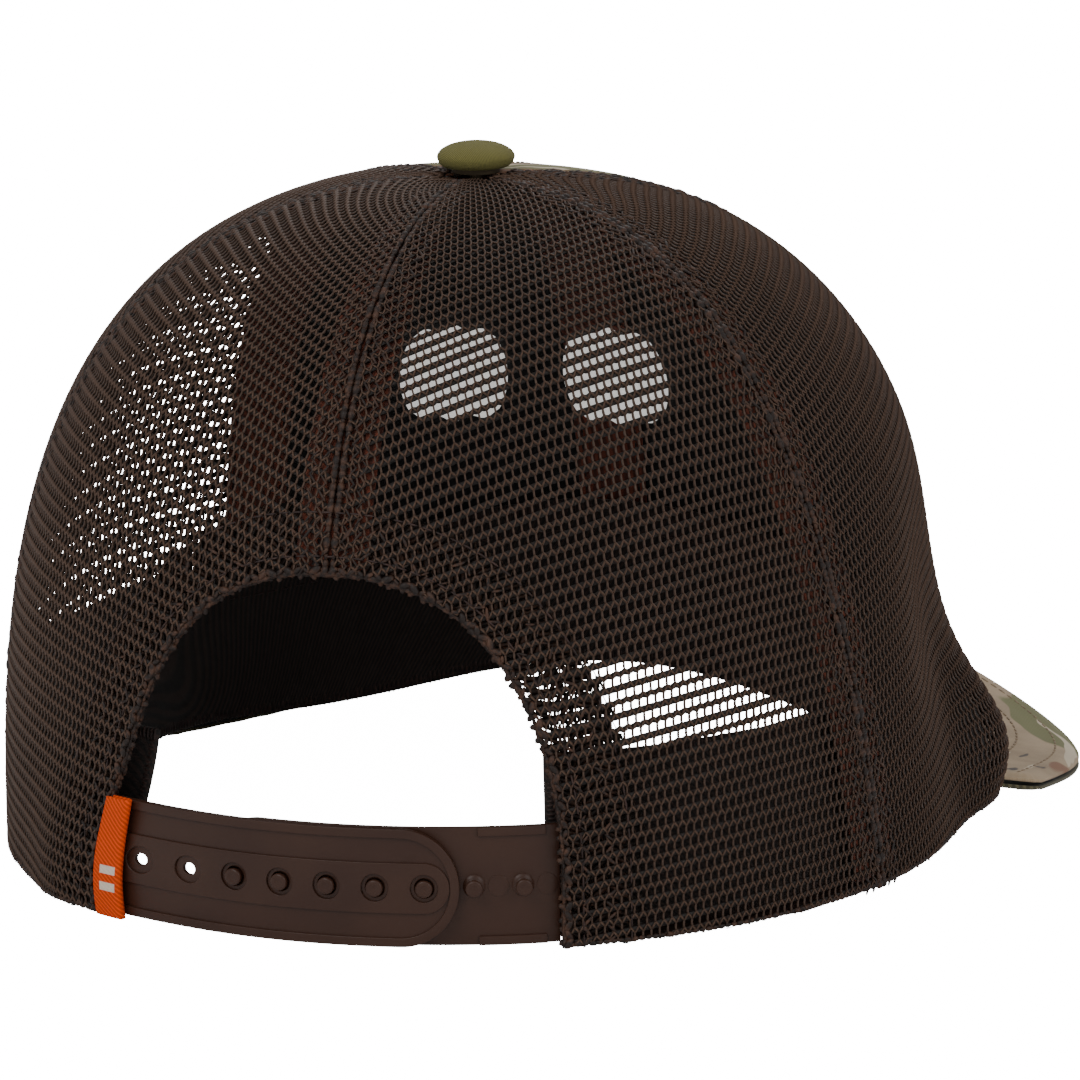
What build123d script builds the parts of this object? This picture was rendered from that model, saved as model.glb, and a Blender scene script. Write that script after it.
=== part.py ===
"""Trucker mesh cap: six-panel crown, curved visor, sweatband, snap closure, tag and top button.

Every piece is drawn in the cap's own frame: the hem of the sides and back is at z = 0, the cap
faces -Y, the wearer's right is -X. On export one location tips the cap onto the two side edges
of its visor and the rear hem, as it stands on a table, with the box centred over the origin.
Depth is always measured inwards from the outside face of the crown.
"""

import os
from math import atan, atan2, cos, degrees, exp, hypot, pi, radians, sin, sqrt, tan

from build123d import *

# ---- crown outline and dome ----
HALF_WIDTH = 91.0        # widest half breadth of the outline
BACK_LENGTH = 97.0       # outline centre to the back
FRONT_LENGTH = 91.0      # outline centre to the front
FRONT_SQUARE = 2.2       # superellipse power of the front half of the outline
BACK_SQUARE = 2.02       # superellipse power of the back half
CROWN_HEIGHT = 125.0     # hem to the top under the button
DOME_SQUARE = 2.66       # superellipse power of the side view
DOME_LEAN = 3.0          # the top sits this far back
FLARE_OUT = 8.0          # the visor corners push the temples out
FLARE_AT = 52.0          # degrees from the front centre line
FLARE_SPREAD = 15.0      # degrees
FLARE_HEIGHT = 24.0      # how fast the flare dies out upwards
HEM_RISE = 10.5          # the front hem climbs over the arched visor
HEM_RISE_AT = 50.0       # degrees either side of the front centre

# ---- seams, as polar angles of the right half (the left half is mirrored) ----
SEAM_GAP = 0.4           # slit between neighbouring panels
REAR_SEAM = (161.0, 155.0, 5.0)     # angle at hem, angle at top, bow between
FRONT_SEAM = (222.0, 214.0, -2.0)
TOP_RADIUS = 5.0         # the panels stop here, under the button

# ---- layers: (near depth, far depth) ----
MESH_LAYER = (0.0, 0.9)
TWILL_LAYER = (0.0, 0.7)
STIFFENER_LAYER = (1.0, 1.8)
REAR_TAPE_LAYER = (1.2, 1.7)
FRONT_TAPE_LAYER = (2.1, 2.5)
FACING_LAYER = (2.0, 2.7)
PADDING_LAYER = (2.8, 3.7)
SWEATBAND_LAYER = (4.0, 5.2)
TAPE_WIDTH = 14.0
SWEATBAND_HEIGHT = 34.0
SWEATBAND_LIFT = 1.0     # the band starts this far above the hem
PADDING_HEIGHT = 24.0
PADDING_HALF_ANGLE = 44.0

# ---- rear arch ----
ARCH_HALF_ARC = 44.4     # along the hem, centre back to each foot
ARCH_TOP = 68.0
ARCH_SQUARE = 2.3        # superellipse power of the arch
ARCH_FOOT = 10.0         # the feet stay upright up to here
FACING_WIDTH = 12.0

# ---- snap straps ----
STRAP_HEIGHT = 22.0
SNAP_PITCH = 9.2
SNAP_COUNT = 7
FIRST_HOLE = 7.5         # from the strap's root
TIP_BEYOND = 6.5         # last hole to the rounded tip
STRAP_BASE = 1.0         # thickness of the web
STRAP_RIM = 0.45         # rims and centre rail stand proud by this
RIM_WIDTH = 1.7
RAIL_HEIGHT = 9.4
HOLE_DIAMETER = 5.1
STUD_DIAMETER = 3.2
STUD_HEAD = 2.6          # stud length above the inner web
STUDS_SNAPPED = 5
OUTER_STRAP_DEPTH = 1.7  # outside face of the outer web
STRAP_AIR = 0.35         # air between the two straps
ROOT_AIR = 0.35          # air between a strap's root and the mesh
STRAP_LIFT = 0.6         # the straps ride this far above the hem plane

# ---- tag ----
TAG_REACH = 5.4
TAG_HEIGHT = 22.6
TAG_CLOTH = 0.45
TAG_FOLD = 1.7           # outside thickness of the folded loop
TAG_AIR = 0.35

# ---- top button ----
BUTTON_DIAMETER = 14.8
BUTTON_DOME = 4.6
COVER_THICKNESS = 0.6
SHELL_THICKNESS = 0.5
POST_DIAMETER = 2.4
BACKING_DIAMETER = 13.0

# ---- visor ----
VISOR_HALF_WIDTH = 95.0
VISOR_MIDDLE = 70.0      # distance ahead of the outline centre where it is widest
VISOR_REACH = 89.0       # from there to the front edge
VISOR_SQUARE = 2.5
VISOR_ROOT_ANGLE = 58.0  # degrees either side of the front centre
VISOR_ROOT_AIR = 0.4
COVER_LAYER = 0.7
BOARD_LAYER = 2.0
LAYER_AIR = 0.02


def outline_radius(angle):
    """Polar radius of the hem outline, without the temple flare."""
    c, s = abs(cos(angle)), sin(angle)
    power = BACK_SQUARE if s > 0 else FRONT_SQUARE
    length = BACK_LENGTH if s > 0 else FRONT_LENGTH
    return ((c / HALF_WIDTH) ** power + (abs(s) / length) ** power) ** (-1 / power)


def from_front(angle):
    """Degrees away from the front centre line, 0 to 180."""
    turn = (degrees(angle) - 270.0) % 360.0
    return min(turn, 360.0 - turn)


def crown_skin(angle, rise):
    """Point of the crown's outside face. rise runs from 0 at the hem to pi/2 at the top."""
    c, s = max(cos(rise), 0.0), sin(rise)
    k = (c**DOME_SQUARE + abs(s) ** DOME_SQUARE) ** (1 / DOME_SQUARE)
    height = CROWN_HEIGHT * s / k
    radius = outline_radius(angle) * c / k
    off = (from_front(angle) - FLARE_AT) / FLARE_SPREAD
    radius += FLARE_OUT * exp(-off * off - (height / FLARE_HEIGHT) ** 2)
    lean = DOME_LEAN * (height / CROWN_HEIGHT) ** 2
    return Vector(radius * cos(angle), radius * sin(angle) + lean, height)


def crown_point(angle, rise, depth=0.0):
    """Point a given depth inside the crown's outside face."""
    here = crown_skin(angle, rise)
    step = 1e-4
    along = crown_skin(angle + step, rise) - crown_skin(angle - step, rise)
    up = crown_skin(angle, rise + step) - crown_skin(angle, rise - step)
    return here - along.cross(up).normalized() * depth


def rise_at(height):
    """Rise angle at which the dome reaches a height."""
    part = max(height, 0.0) / CROWN_HEIGHT
    return atan(part * (1 - part**DOME_SQUARE) ** (-1 / DOME_SQUARE))


def hem_height(angle):
    """Height of the crown's lower edge: level, climbing over the visor in front."""
    turn = min(from_front(angle) / HEM_RISE_AT, 1.0)
    return HEM_RISE * cos(turn * pi / 2) ** 2


def seam_angle(seam, part):
    """Polar angle of a seam at a part of the way up, 0 to 1."""
    low, top, bow = seam
    return radians(low + (top - low) * part - bow * sin(pi * part))


def mirrored(seam):
    """The same seam on the wearer's left."""
    return (180.0 - seam[0], 180.0 - seam[1], -seam[2])


def slab(near_rows, far_rows):
    """Closed solid between two grids of points."""
    near = Face.make_surface_from_array_of_points(near_rows, tol=0.01)
    far = Face.make_surface_from_array_of_points(far_rows, tol=0.01)
    sides = []
    for edge in near.edges():
        partner = min(far.edges(), key=lambda other: (other @ 0.5 - edge @ 0.5).length)
        sides.append(Face.make_surface_from_curves(edge, partner))
    solid = Solid(Shell([near, far] + sides))
    return solid if solid.volume > 0 else Solid(Shell([-near, -far] + [-f for f in sides]))


def crown_slab(layer, left, right, low, high, columns=15, rows=15):
    """Layered crown piece. left/right give the edge angles and low/high the rises of a cell."""
    grids = []
    for depth in layer:
        grid = []
        for i in range(columns):
            line = []
            for j in range(rows):
                part = j / (rows - 1)
                a, b = left(part), right(part)
                angle = a + (b - a) * i / (columns - 1)
                rise = low(angle) + (high(angle) - low(angle)) * part
                line.append(crown_point(angle, rise, depth))
            grid.append(line)
        grids.append(grid)
    return slab(*grids)


def panel(layer, seam_a, seam_b, top_radius=TOP_RADIUS, inset=SEAM_GAP / 2, lift=0.0, columns=15):
    """One crown panel between two seams, from the hem to the top."""
    top = pi / 2 - atan(top_radius / HALF_WIDTH)

    def side(seam, sign):
        def angle(part):
            here = crown_skin(seam_angle(seam, part), part * top)
            return seam_angle(seam, part) + sign * inset / hypot(here.X, here.Y)
        return angle

    return crown_slab(layer, side(seam_a, 1), side(seam_b, -1),
                      lambda a: rise_at(hem_height(a) + lift), lambda a: top, columns)


def tape(layer, seam, low_height, top_radius, width=TAPE_WIDTH):
    """Flat tape sewn behind a seam, ends square to it."""
    top = pi / 2 - atan(top_radius / HALF_WIDTH)
    low = rise_at(low_height)

    def side(sign):
        def angle(part):
            rise = low + (top - low) * part
            centre = seam_angle(seam, rise / (pi / 2))
            here = crown_skin(centre, rise)
            return centre + sign * atan(width / 2 / hypot(here.X, here.Y))
        return angle

    return crown_slab(layer, side(1), side(-1), lambda a: low, lambda a: top, columns=5)


def belt(layer, start, end, low, high, columns=33, rows=6):
    """Band that follows the hem between two angles; low and high are heights above it."""
    return crown_slab(layer, lambda p: start, lambda p: end,
                      lambda a: rise_at(hem_height(a) + low),
                      lambda a: rise_at(hem_height(a) + high), columns, rows)


def hem_arc_angle(arc):
    """Polar angle reached by walking an arc along the hem from the centre back, + to the right."""
    steps, angle, walked = 200, pi / 2, 0.0
    side = 1 if arc >= 0 else -1
    last = crown_skin(angle, 0)
    while walked < abs(arc):
        angle += side * radians(50) / steps
        here = crown_skin(angle, 0)
        walked += (here - last).length
        last = here
    return angle


ARCH_FOOT_X = -crown_skin(hem_arc_angle(ARCH_HALF_ARC), 0).X


def arch_outline(grow):
    """Points of the arch seen from behind, widened by a margin."""
    points = []
    for i in range(25):
        turn = pi * i / 24
        c, s = cos(turn), sin(turn)
        k = (abs(c) ** ARCH_SQUARE + s**ARCH_SQUARE) ** (-1 / ARCH_SQUARE)
        points.append(((ARCH_FOOT_X + grow) * c * k,
                       ARCH_FOOT + (ARCH_TOP - ARCH_FOOT + grow) * s * k))
    return points


def arch_prism(grow, mode):
    """Through-cut of the arch, run out below the hem."""
    curve = arch_outline(grow)
    with BuildSketch(Plane.XZ) as shape:
        with BuildLine():
            Spline(*curve)
            Polyline(curve[-1], (curve[-1][0], -20), (curve[0][0], -20), curve[0])
        make_face()
    extrude(shape.sketch, amount=-140, mode=mode)


def ring_sector(start, end, near, far, low, high, steps=24):
    """Upright wall that follows the hem outline between two angles."""
    edges = []
    for depth in (near, far):
        line = []
        for i in range(steps + 1):
            line.append(crown_point(start + (end - start) * i / steps, 0, depth))
        edges.append([(p.X, p.Y) for p in line])
    with BuildSketch(Plane.XY.offset(low)) as plan:
        with BuildLine():
            Spline(*edges[0])
            Line(edges[0][-1], edges[1][-1])
            Spline(*edges[1])
            Line(edges[1][0], edges[0][0])
        make_face()
    extrude(plan.sketch, amount=high - low)


def hem_plane(angle, depth, height):
    """Plane standing on the hem wall: x along the hem towards the wearer's left, z outwards."""
    here, inner = crown_point(angle, 0, 0), crown_point(angle, 0, 1)
    out = here - inner
    spot = here - out * depth
    return Plane(origin=(spot.X, spot.Y, height), x_dir=(out.Y, -out.X, 0), z_dir=(out.X, out.Y, 0))


def visor_top(x, ahead):
    """Height of the visor's upper face; ahead is measured forwards from the outline centre."""
    run = ahead - FRONT_LENGTH
    return 13.2 - 0.0032 * x * x - 0.034 * run - 1.25e-5 * x * x * run + 1.3e-7 * x**4


def visor_edge(inset):
    """Plan of the visor as two point rows: the root against the crown and the free edge."""
    root, free = [], []
    for i in range(25):
        angle = radians(270 - VISOR_ROOT_ANGLE + 2 * VISOR_ROOT_ANGLE * i / 24)
        spot = crown_point(angle, rise_at(hem_height(angle)), -VISOR_ROOT_AIR)
        root.append((spot.X, spot.Y))
    corner_x, corner_y = root[-1]
    corner_ahead = -corner_y
    free.append((corner_x, corner_y))
    for i in range(1, 28):
        turn = -0.12 + (pi + 0.24) * i / 28
        c, s = cos(turn), sin(turn)
        k = (abs(c / (VISOR_HALF_WIDTH - inset)) ** VISOR_SQUARE
             + abs(s / (VISOR_REACH - inset)) ** VISOR_SQUARE) ** (-1 / VISOR_SQUARE)
        free.append((k * c, -(VISOR_MIDDLE + k * s)))
    free.append((-corner_x, -corner_ahead))
    return root, free


def visor_layer(near, far, inset):
    """One layer of the visor sandwich; near and far are depths under the upper face."""
    grids = []
    for depth in (near, far):
        grid = []
        for i in range(17):
            x = -104 + 13.0 * i
            grid.append([Vector(x, -ahead, visor_top(x, ahead) - depth)
                         for ahead in (30, 50, 70, 90, 110, 130, 150, 170)])
        grids.append(grid)
    add(slab(*grids))
    root, free = visor_edge(inset)
    with BuildSketch(Plane.XY.offset(-40)) as plan:
        with BuildLine():
            Spline(*root)
            Spline(*free)
        make_face()
    extrude(plan.sketch, amount=90, mode=Mode.INTERSECT)


pieces = {}
straight = (90.0, 90.0, 0.0)
front_line = (270.0, 270.0, 0.0)
rear_left, front_left = mirrored(REAR_SEAM), mirrored(FRONT_SEAM)
front_left = (front_left[0] + 360, front_left[1] + 360, front_left[2])

# ---- mesh panels ----
with BuildPart() as mesh_back_right:
    add(panel(MESH_LAYER, straight, REAR_SEAM))
    arch_prism(0, Mode.SUBTRACT)
with BuildPart() as mesh_back_left:
    add(panel(MESH_LAYER, rear_left, straight))
    arch_prism(0, Mode.SUBTRACT)
with BuildPart() as mesh_side_right:
    add(panel(MESH_LAYER, REAR_SEAM, FRONT_SEAM))
with BuildPart() as mesh_side_left:
    add(panel(MESH_LAYER, front_left, (rear_left[0] + 360, rear_left[1] + 360, rear_left[2])))

# ---- front panels and their stiffeners ----
with BuildPart() as front_panel_right:
    add(panel(TWILL_LAYER, FRONT_SEAM, front_line))
with BuildPart() as front_panel_left:
    add(panel(TWILL_LAYER, front_line, front_left))
with BuildPart() as stiffener_right:
    add(panel(STIFFENER_LAYER, FRONT_SEAM, front_line, top_radius=11, inset=2.5, lift=2.0))
with BuildPart() as stiffener_left:
    add(panel(STIFFENER_LAYER, front_line, front_left, top_radius=11, inset=2.5, lift=2.0))

# ---- seam tapes ----
with BuildPart() as tape_centre_back:
    add(tape(REAR_TAPE_LAYER, straight, ARCH_TOP + 1, 9))
with BuildPart() as tape_rear_right:
    add(tape(REAR_TAPE_LAYER, REAR_SEAM, 2, 17))
with BuildPart() as tape_rear_left:
    add(tape(REAR_TAPE_LAYER, rear_left, 2, 17))
with BuildPart() as tape_front_right:
    add(tape(FRONT_TAPE_LAYER, FRONT_SEAM, 4, 17))
with BuildPart() as tape_front_left:
    add(tape(FRONT_TAPE_LAYER, front_left, 4, 17))
with BuildPart() as tape_centre_front:
    add(tape(FRONT_TAPE_LAYER, front_line, HEM_RISE + 3, 9))

# ---- mesh facing that doubles the edge of the arch ----
with BuildPart() as arch_facing:
    add(crown_slab(FACING_LAYER, lambda p: radians(24), lambda p: radians(156),
                   lambda a: rise_at(0.3), lambda a: rise_at(ARCH_TOP + FACING_WIDTH + 8),
                   columns=25, rows=12))
    arch_prism(FACING_WIDTH, Mode.INTERSECT)
    arch_prism(0.3, Mode.SUBTRACT)

# ---- sweatband and forehead padding ----
foot_right = hem_arc_angle(ARCH_HALF_ARC + ROOT_AIR)
foot_left = pi - foot_right
with BuildPart() as sweatband:
    add(belt(SWEATBAND_LAYER, foot_right, foot_left + 2 * pi, SWEATBAND_LIFT,
             SWEATBAND_LIFT + SWEATBAND_HEIGHT, columns=49))
with BuildPart() as sweatband_padding:
    half = radians(PADDING_HALF_ANGLE)
    add(belt(PADDING_LAYER, 1.5 * pi - half, 1.5 * pi + half, SWEATBAND_LIFT + 4,
             SWEATBAND_LIFT + 4 + PADDING_HEIGHT, columns=17))

# ---- snap straps: the outer one comes from the wearer's left, the inner one from the right ----
root_arc = ARCH_HALF_ARC - ROOT_AIR
outer_root = hem_arc_angle(-root_arc)
last_hole_arc = -root_arc + FIRST_HOLE + SNAP_PITCH * (SNAP_COUNT - 1)
outer_tip = hem_arc_angle(last_hole_arc + TIP_BEYOND)
strap_low, strap_high = STRAP_LIFT, STRAP_LIFT + STRAP_HEIGHT
strap_middle = (strap_low + strap_high) / 2
outer_far = OUTER_STRAP_DEPTH + STRAP_BASE
inner_near = outer_far + STRAP_AIR
inner_far = inner_near + STRAP_BASE
hole_angles = [hem_arc_angle(-root_arc + FIRST_HOLE + SNAP_PITCH * i) for i in range(SNAP_COUNT)]


def tongue(angle, back_turn, grow, height, depth, mode):
    """Long slot shape with a full round at the tip, cut square through the wall."""
    with BuildSketch(hem_plane(angle, depth, strap_middle)) as slot:
        Circle(height / 2 + grow)
        with Locations((back_turn * 50, 0)):
            Rectangle(100, height + 2 * grow)
    extrude(slot.sketch, amount=30, both=True, mode=mode)


def strap_web(root, tip, round_at, back_turn, depth):
    """Flat web, edge rims and their return around the tip."""
    near = depth - STRAP_RIM
    with BuildPart() as web:
        ring_sector(root, tip, depth, depth + STRAP_BASE, strap_low, strap_high)
        tongue(round_at, back_turn, 0, STRAP_HEIGHT, 0, Mode.INTERSECT)
    with BuildPart() as rim:
        ring_sector(root, tip, near, depth + 0.3, strap_low, strap_high)
        tongue(round_at, back_turn, 0, STRAP_HEIGHT, 0, Mode.INTERSECT)
        tongue(round_at, back_turn, -RIM_WIDTH, STRAP_HEIGHT, 0, Mode.SUBTRACT)
    add(web.part)
    add(rim.part)


outer_round = hem_arc_angle(last_hole_arc + TIP_BEYOND - STRAP_HEIGHT / 2)
with BuildPart() as outer_strap:
    strap_web(outer_root, outer_tip, outer_round, 1, OUTER_STRAP_DEPTH)
    with BuildPart() as rail:
        ring_sector(outer_root, hem_arc_angle(last_hole_arc + RAIL_HEIGHT / 2),
                    OUTER_STRAP_DEPTH - STRAP_RIM, OUTER_STRAP_DEPTH + 0.3,
                    strap_middle - RAIL_HEIGHT / 2, strap_middle + RAIL_HEIGHT / 2)
        tongue(hole_angles[-1], 1, 0, RAIL_HEIGHT, 0, Mode.INTERSECT)
    add(rail.part)
    for angle in hole_angles:
        with BuildSketch(hem_plane(angle, 0, strap_middle)):
            Circle(HOLE_DIAMETER / 2)
        extrude(amount=8, both=True, mode=Mode.SUBTRACT)

inner_root = hem_arc_angle(root_arc)
first_stud_arc = -root_arc + FIRST_HOLE + SNAP_PITCH * (SNAP_COUNT - STUDS_SNAPPED)
inner_tip_arc = first_stud_arc - TIP_BEYOND
stud_angles = [hem_arc_angle(first_stud_arc + SNAP_PITCH * i) for i in range(SNAP_COUNT)]
with BuildPart() as inner_strap:
    inner_round = hem_arc_angle(inner_tip_arc + STRAP_HEIGHT / 2)
    with BuildPart() as web:
        ring_sector(hem_arc_angle(inner_tip_arc), inner_root, inner_near, inner_far,
                    strap_low, strap_high)
        tongue(inner_round, -1, 0, STRAP_HEIGHT, 0, Mode.INTERSECT)
    add(web.part)
    rim_start = hem_arc_angle(last_hole_arc + TIP_BEYOND + 3.5)
    rim_end = hem_arc_angle(root_arc - 2.6)
    for low, high in ((strap_low, strap_low + RIM_WIDTH), (strap_high - RIM_WIDTH, strap_high)):
        ring_sector(rim_start, rim_end, inner_near - STRAP_RIM, inner_near + 0.3, low, high, 6)
    for angle in stud_angles:
        with BuildSketch(hem_plane(angle, inner_near + 0.3, strap_middle)):
            Circle(STUD_DIAMETER / 2)
        extrude(amount=STUD_HEAD + 0.3 - 0.35)
        with BuildSketch(hem_plane(angle, inner_near - STUD_HEAD + 0.35, strap_middle)):
            Circle(STUD_DIAMETER / 2)
        extrude(amount=0.35, taper=35)

# ---- folded tag over the outer strap's root ----
tag_near = OUTER_STRAP_DEPTH - STRAP_RIM - TAG_AIR - TAG_FOLD
with BuildPart() as flag_label:
    tag_start = hem_arc_angle(-root_arc)
    tag_end = hem_arc_angle(-root_arc + TAG_REACH)
    tag_low = strap_middle - TAG_HEIGHT / 2
    ring_sector(tag_start, tag_end, tag_near, tag_near + TAG_FOLD, tag_low, tag_low + TAG_HEIGHT, 6)
    with BuildPart() as loop_air:
        ring_sector(hem_arc_angle(-root_arc - 1), hem_arc_angle(-root_arc + TAG_REACH - TAG_CLOTH),
                    tag_near + TAG_CLOTH, tag_near + TAG_FOLD - TAG_CLOTH,
                    tag_low - 1, tag_low + TAG_HEIGHT + 1, 6)
    add(loop_air.part, mode=Mode.SUBTRACT)

# ---- covered button ----
apex_z = CROWN_HEIGHT
button_low = apex_z + 0.35
with BuildPart() as button_cover:
    with BuildSketch(Plane.XZ):
        with BuildLine():
            reach = BUTTON_DIAMETER / 2
            Line((0, button_low + BUTTON_DOME - COVER_THICKNESS), (0, button_low + BUTTON_DOME))
            Spline((0, button_low + BUTTON_DOME), (reach * 0.72, button_low + BUTTON_DOME * 0.82),
                   (reach, button_low + BUTTON_DOME * 0.36), tangents=((1, 0), (0, -1)))
            Line((reach, button_low + BUTTON_DOME * 0.36), (reach - 0.9, button_low))
            Line((reach - 0.9, button_low), (reach - 2.4, button_low))
            Line((reach - 2.4, button_low), (reach - 2.4, button_low + COVER_THICKNESS))
            Line((reach - 2.4, button_low + COVER_THICKNESS),
                 (reach - 0.9 - COVER_THICKNESS, button_low + COVER_THICKNESS))
            Line((reach - 0.9 - COVER_THICKNESS, button_low + COVER_THICKNESS),
                 (reach - COVER_THICKNESS, button_low + BUTTON_DOME * 0.36))
            Spline((reach - COVER_THICKNESS, button_low + BUTTON_DOME * 0.36),
                   (reach * 0.72 - 0.4, button_low + BUTTON_DOME * 0.82 - 0.5),
                   (0, button_low + BUTTON_DOME - COVER_THICKNESS), tangents=((0, 1), (-1, 0)))
        make_face()
    revolve(axis=Axis.Z)
shell_top = button_low + BUTTON_DOME - COVER_THICKNESS - 0.15
with BuildPart() as button_shell:
    with Locations((0, 0, button_low + COVER_THICKNESS + 0.15)):
        Cylinder(4.6, shell_top - button_low - COVER_THICKNESS - 0.9,
                 align=(Align.CENTER, Align.CENTER, Align.MIN))
        Cylinder(4.6 - SHELL_THICKNESS, shell_top - button_low - COVER_THICKNESS - 0.9 - SHELL_THICKNESS,
                 align=(Align.CENTER, Align.CENTER, Align.MIN), mode=Mode.SUBTRACT)
with BuildPart() as button_post:
    post_low = apex_z - 5.2
    with Locations((0, 0, post_low)):
        Cylinder(POST_DIAMETER / 2, 7.2, align=(Align.CENTER, Align.CENTER, Align.MIN))
    with Locations((0, 0, post_low + 6.3)):
        Cylinder(3.4, 0.9, align=(Align.CENTER, Align.CENTER, Align.MIN))
with BuildPart() as button_backing:
    with Locations((0, 0, apex_z - 4.6)):
        Cylinder(BACKING_DIAMETER / 2, 0.9, align=(Align.CENTER, Align.CENTER, Align.MIN))
        Cylinder(POST_DIAMETER / 2 + 0.05, 0.9, align=(Align.CENTER, Align.CENTER, Align.MIN),
                 mode=Mode.SUBTRACT)

# ---- visor sandwich ----
with BuildPart() as visor_top_cover:
    visor_layer(0, COVER_LAYER, 0)
with BuildPart() as visor_board:
    visor_layer(COVER_LAYER + LAYER_AIR, COVER_LAYER + BOARD_LAYER - LAYER_AIR, 1.2)
with BuildPart() as visor_under_cover:
    visor_layer(COVER_LAYER + BOARD_LAYER, 2 * COVER_LAYER + BOARD_LAYER, 0)

built = {
    "mesh_back_left": mesh_back_left, "mesh_back_right": mesh_back_right,
    "mesh_side_left": mesh_side_left, "mesh_side_right": mesh_side_right,
    "front_panel_left": front_panel_left, "front_panel_right": front_panel_right,
    "stiffener_left": stiffener_left, "stiffener_right": stiffener_right,
    "tape_centre_back": tape_centre_back, "tape_rear_left": tape_rear_left,
    "tape_rear_right": tape_rear_right, "tape_front_left": tape_front_left,
    "tape_front_right": tape_front_right, "tape_centre_front": tape_centre_front,
    "arch_facing": arch_facing, "sweatband": sweatband, "sweatband_padding": sweatband_padding,
    "outer_strap": outer_strap, "inner_strap": inner_strap, "flag_label": flag_label,
    "button_cover": button_cover, "button_shell": button_shell, "button_post": button_post,
    "button_backing": button_backing, "visor_top_cover": visor_top_cover,
    "visor_board": visor_board, "visor_under_cover": visor_under_cover,
}

# ---- stand the cap on its visor edges and rear hem, box centred over the origin ----
REST_PITCH = 2.95        # degrees, front up
TIP = Location((0, 0, 0), (-REST_PITCH, 0, 0))
spots = [spot for piece in built.values() for spot in piece.part.moved(TIP).tessellate(0.1)[0]]
middle_y = (min(s.Y for s in spots) + max(s.Y for s in spots)) / 2
REST = Location((0, -middle_y, -min(s.Z for s in spots)), (-REST_PITCH, 0, 0))

os.makedirs("parts", exist_ok=True)
for name, piece in built.items():
    placed = piece.part.moved(REST)
    placed.label = name
    export_step(placed, f"parts/{name}.step")
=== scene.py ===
"""Trucker mesh cap, dressed piece by piece over its CAD frame.

Lengths in the classes are millimetres in the cap's own frame (hem of sides and back at z = 0,
facing -Y); RestPose turns them into metres in the shared frame.
"""

import logging
import math
from contextlib import contextmanager
from dataclasses import dataclass
from enum import Enum
from typing import Any, Iterator, Sequence

import bmesh
import bpy
import numpy as np
from mathutils import Matrix, Vector


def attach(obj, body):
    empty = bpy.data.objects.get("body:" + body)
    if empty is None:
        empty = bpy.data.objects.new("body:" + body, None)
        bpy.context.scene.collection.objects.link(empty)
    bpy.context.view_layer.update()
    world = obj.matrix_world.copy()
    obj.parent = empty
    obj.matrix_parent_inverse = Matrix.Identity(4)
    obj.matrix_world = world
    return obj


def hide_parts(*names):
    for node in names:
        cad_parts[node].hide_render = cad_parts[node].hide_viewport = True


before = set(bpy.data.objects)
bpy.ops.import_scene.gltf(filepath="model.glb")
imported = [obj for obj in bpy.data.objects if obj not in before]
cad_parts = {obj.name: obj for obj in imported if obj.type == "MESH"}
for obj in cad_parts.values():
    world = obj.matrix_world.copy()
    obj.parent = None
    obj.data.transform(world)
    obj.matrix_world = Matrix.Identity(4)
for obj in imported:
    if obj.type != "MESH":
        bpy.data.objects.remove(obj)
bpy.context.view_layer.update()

log = logging.getLogger("cap")
Array = np.ndarray
Mesh, Material = bpy.types.Mesh, bpy.types.Material
Socket, Tree = bpy.types.NodeSocket, bpy.types.NodeTree
Colour = tuple[int, int, int]  # as displayed, 0 to 255
MM = 0.001
SPAN = 0.25  # metres of cloth covered by one unit of a knit panel's map
FRONT = math.radians(270)  # polar angle of the front centre line


# ---- form of the cap
def walk(line: Array) -> Array:
    """Length walked along a line up to each of its points."""
    return np.r_[0, np.linalg.norm(np.diff(line, axis=0), axis=1).cumsum()]


def grid_area(grid: Array) -> float:
    """Area in square metres of a grid of points in millimetres."""
    a, b, c = grid[:-1, :-1], grid[1:, :-1], grid[:-1, 1:]
    return float(np.linalg.norm(np.cross(b - a, c - a), axis=-1).sum() * MM * MM)


@dataclass(frozen=True)
class RestPose:
    """How the cap stands: pitched back onto its visor edges and rear hem."""

    pitch_deg: float = -2.95
    shift_y: float = 30.6576
    shift_z: float = 4.41994

    def turn(self, vectors: Array) -> Array:
        """Turns directions from the cap's frame into the shared frame.

        Args:
            vectors: directions, x, y and z last.

        Returns:
            The turned directions.
        """
        c, s = math.cos(math.radians(self.pitch_deg)), math.sin(math.radians(self.pitch_deg))
        x, y, z = np.moveaxis(np.asarray(vectors, float), -1, 0)
        return np.stack([x, c * y - s * z, s * y + c * z], -1)

    def place(self, points: Array) -> Array:
        """Points in millimetres of the cap's frame as metres in the shared frame."""
        return (self.turn(points) + [0.0, self.shift_y, self.shift_z]) * MM


@dataclass(frozen=True)
class Seam:
    """Seam line of the crown as a polar angle that changes on the way up."""

    low: float
    top: float
    bow: float = 0.0

    def angle(self, part: Array) -> Array:
        """Polar angle in radians at a part of the way up, 0 to 1."""
        part = np.asarray(part, float)
        return np.radians(self.low + (self.top - self.low) * part - self.bow * np.sin(np.pi * part))

    def mirrored(self, turn: float = 0.0) -> "Seam":
        """The same seam on the wearer's left, a turn further on if asked."""
        return Seam(180.0 - self.low + turn, 180.0 - self.top + turn, -self.bow)


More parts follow.
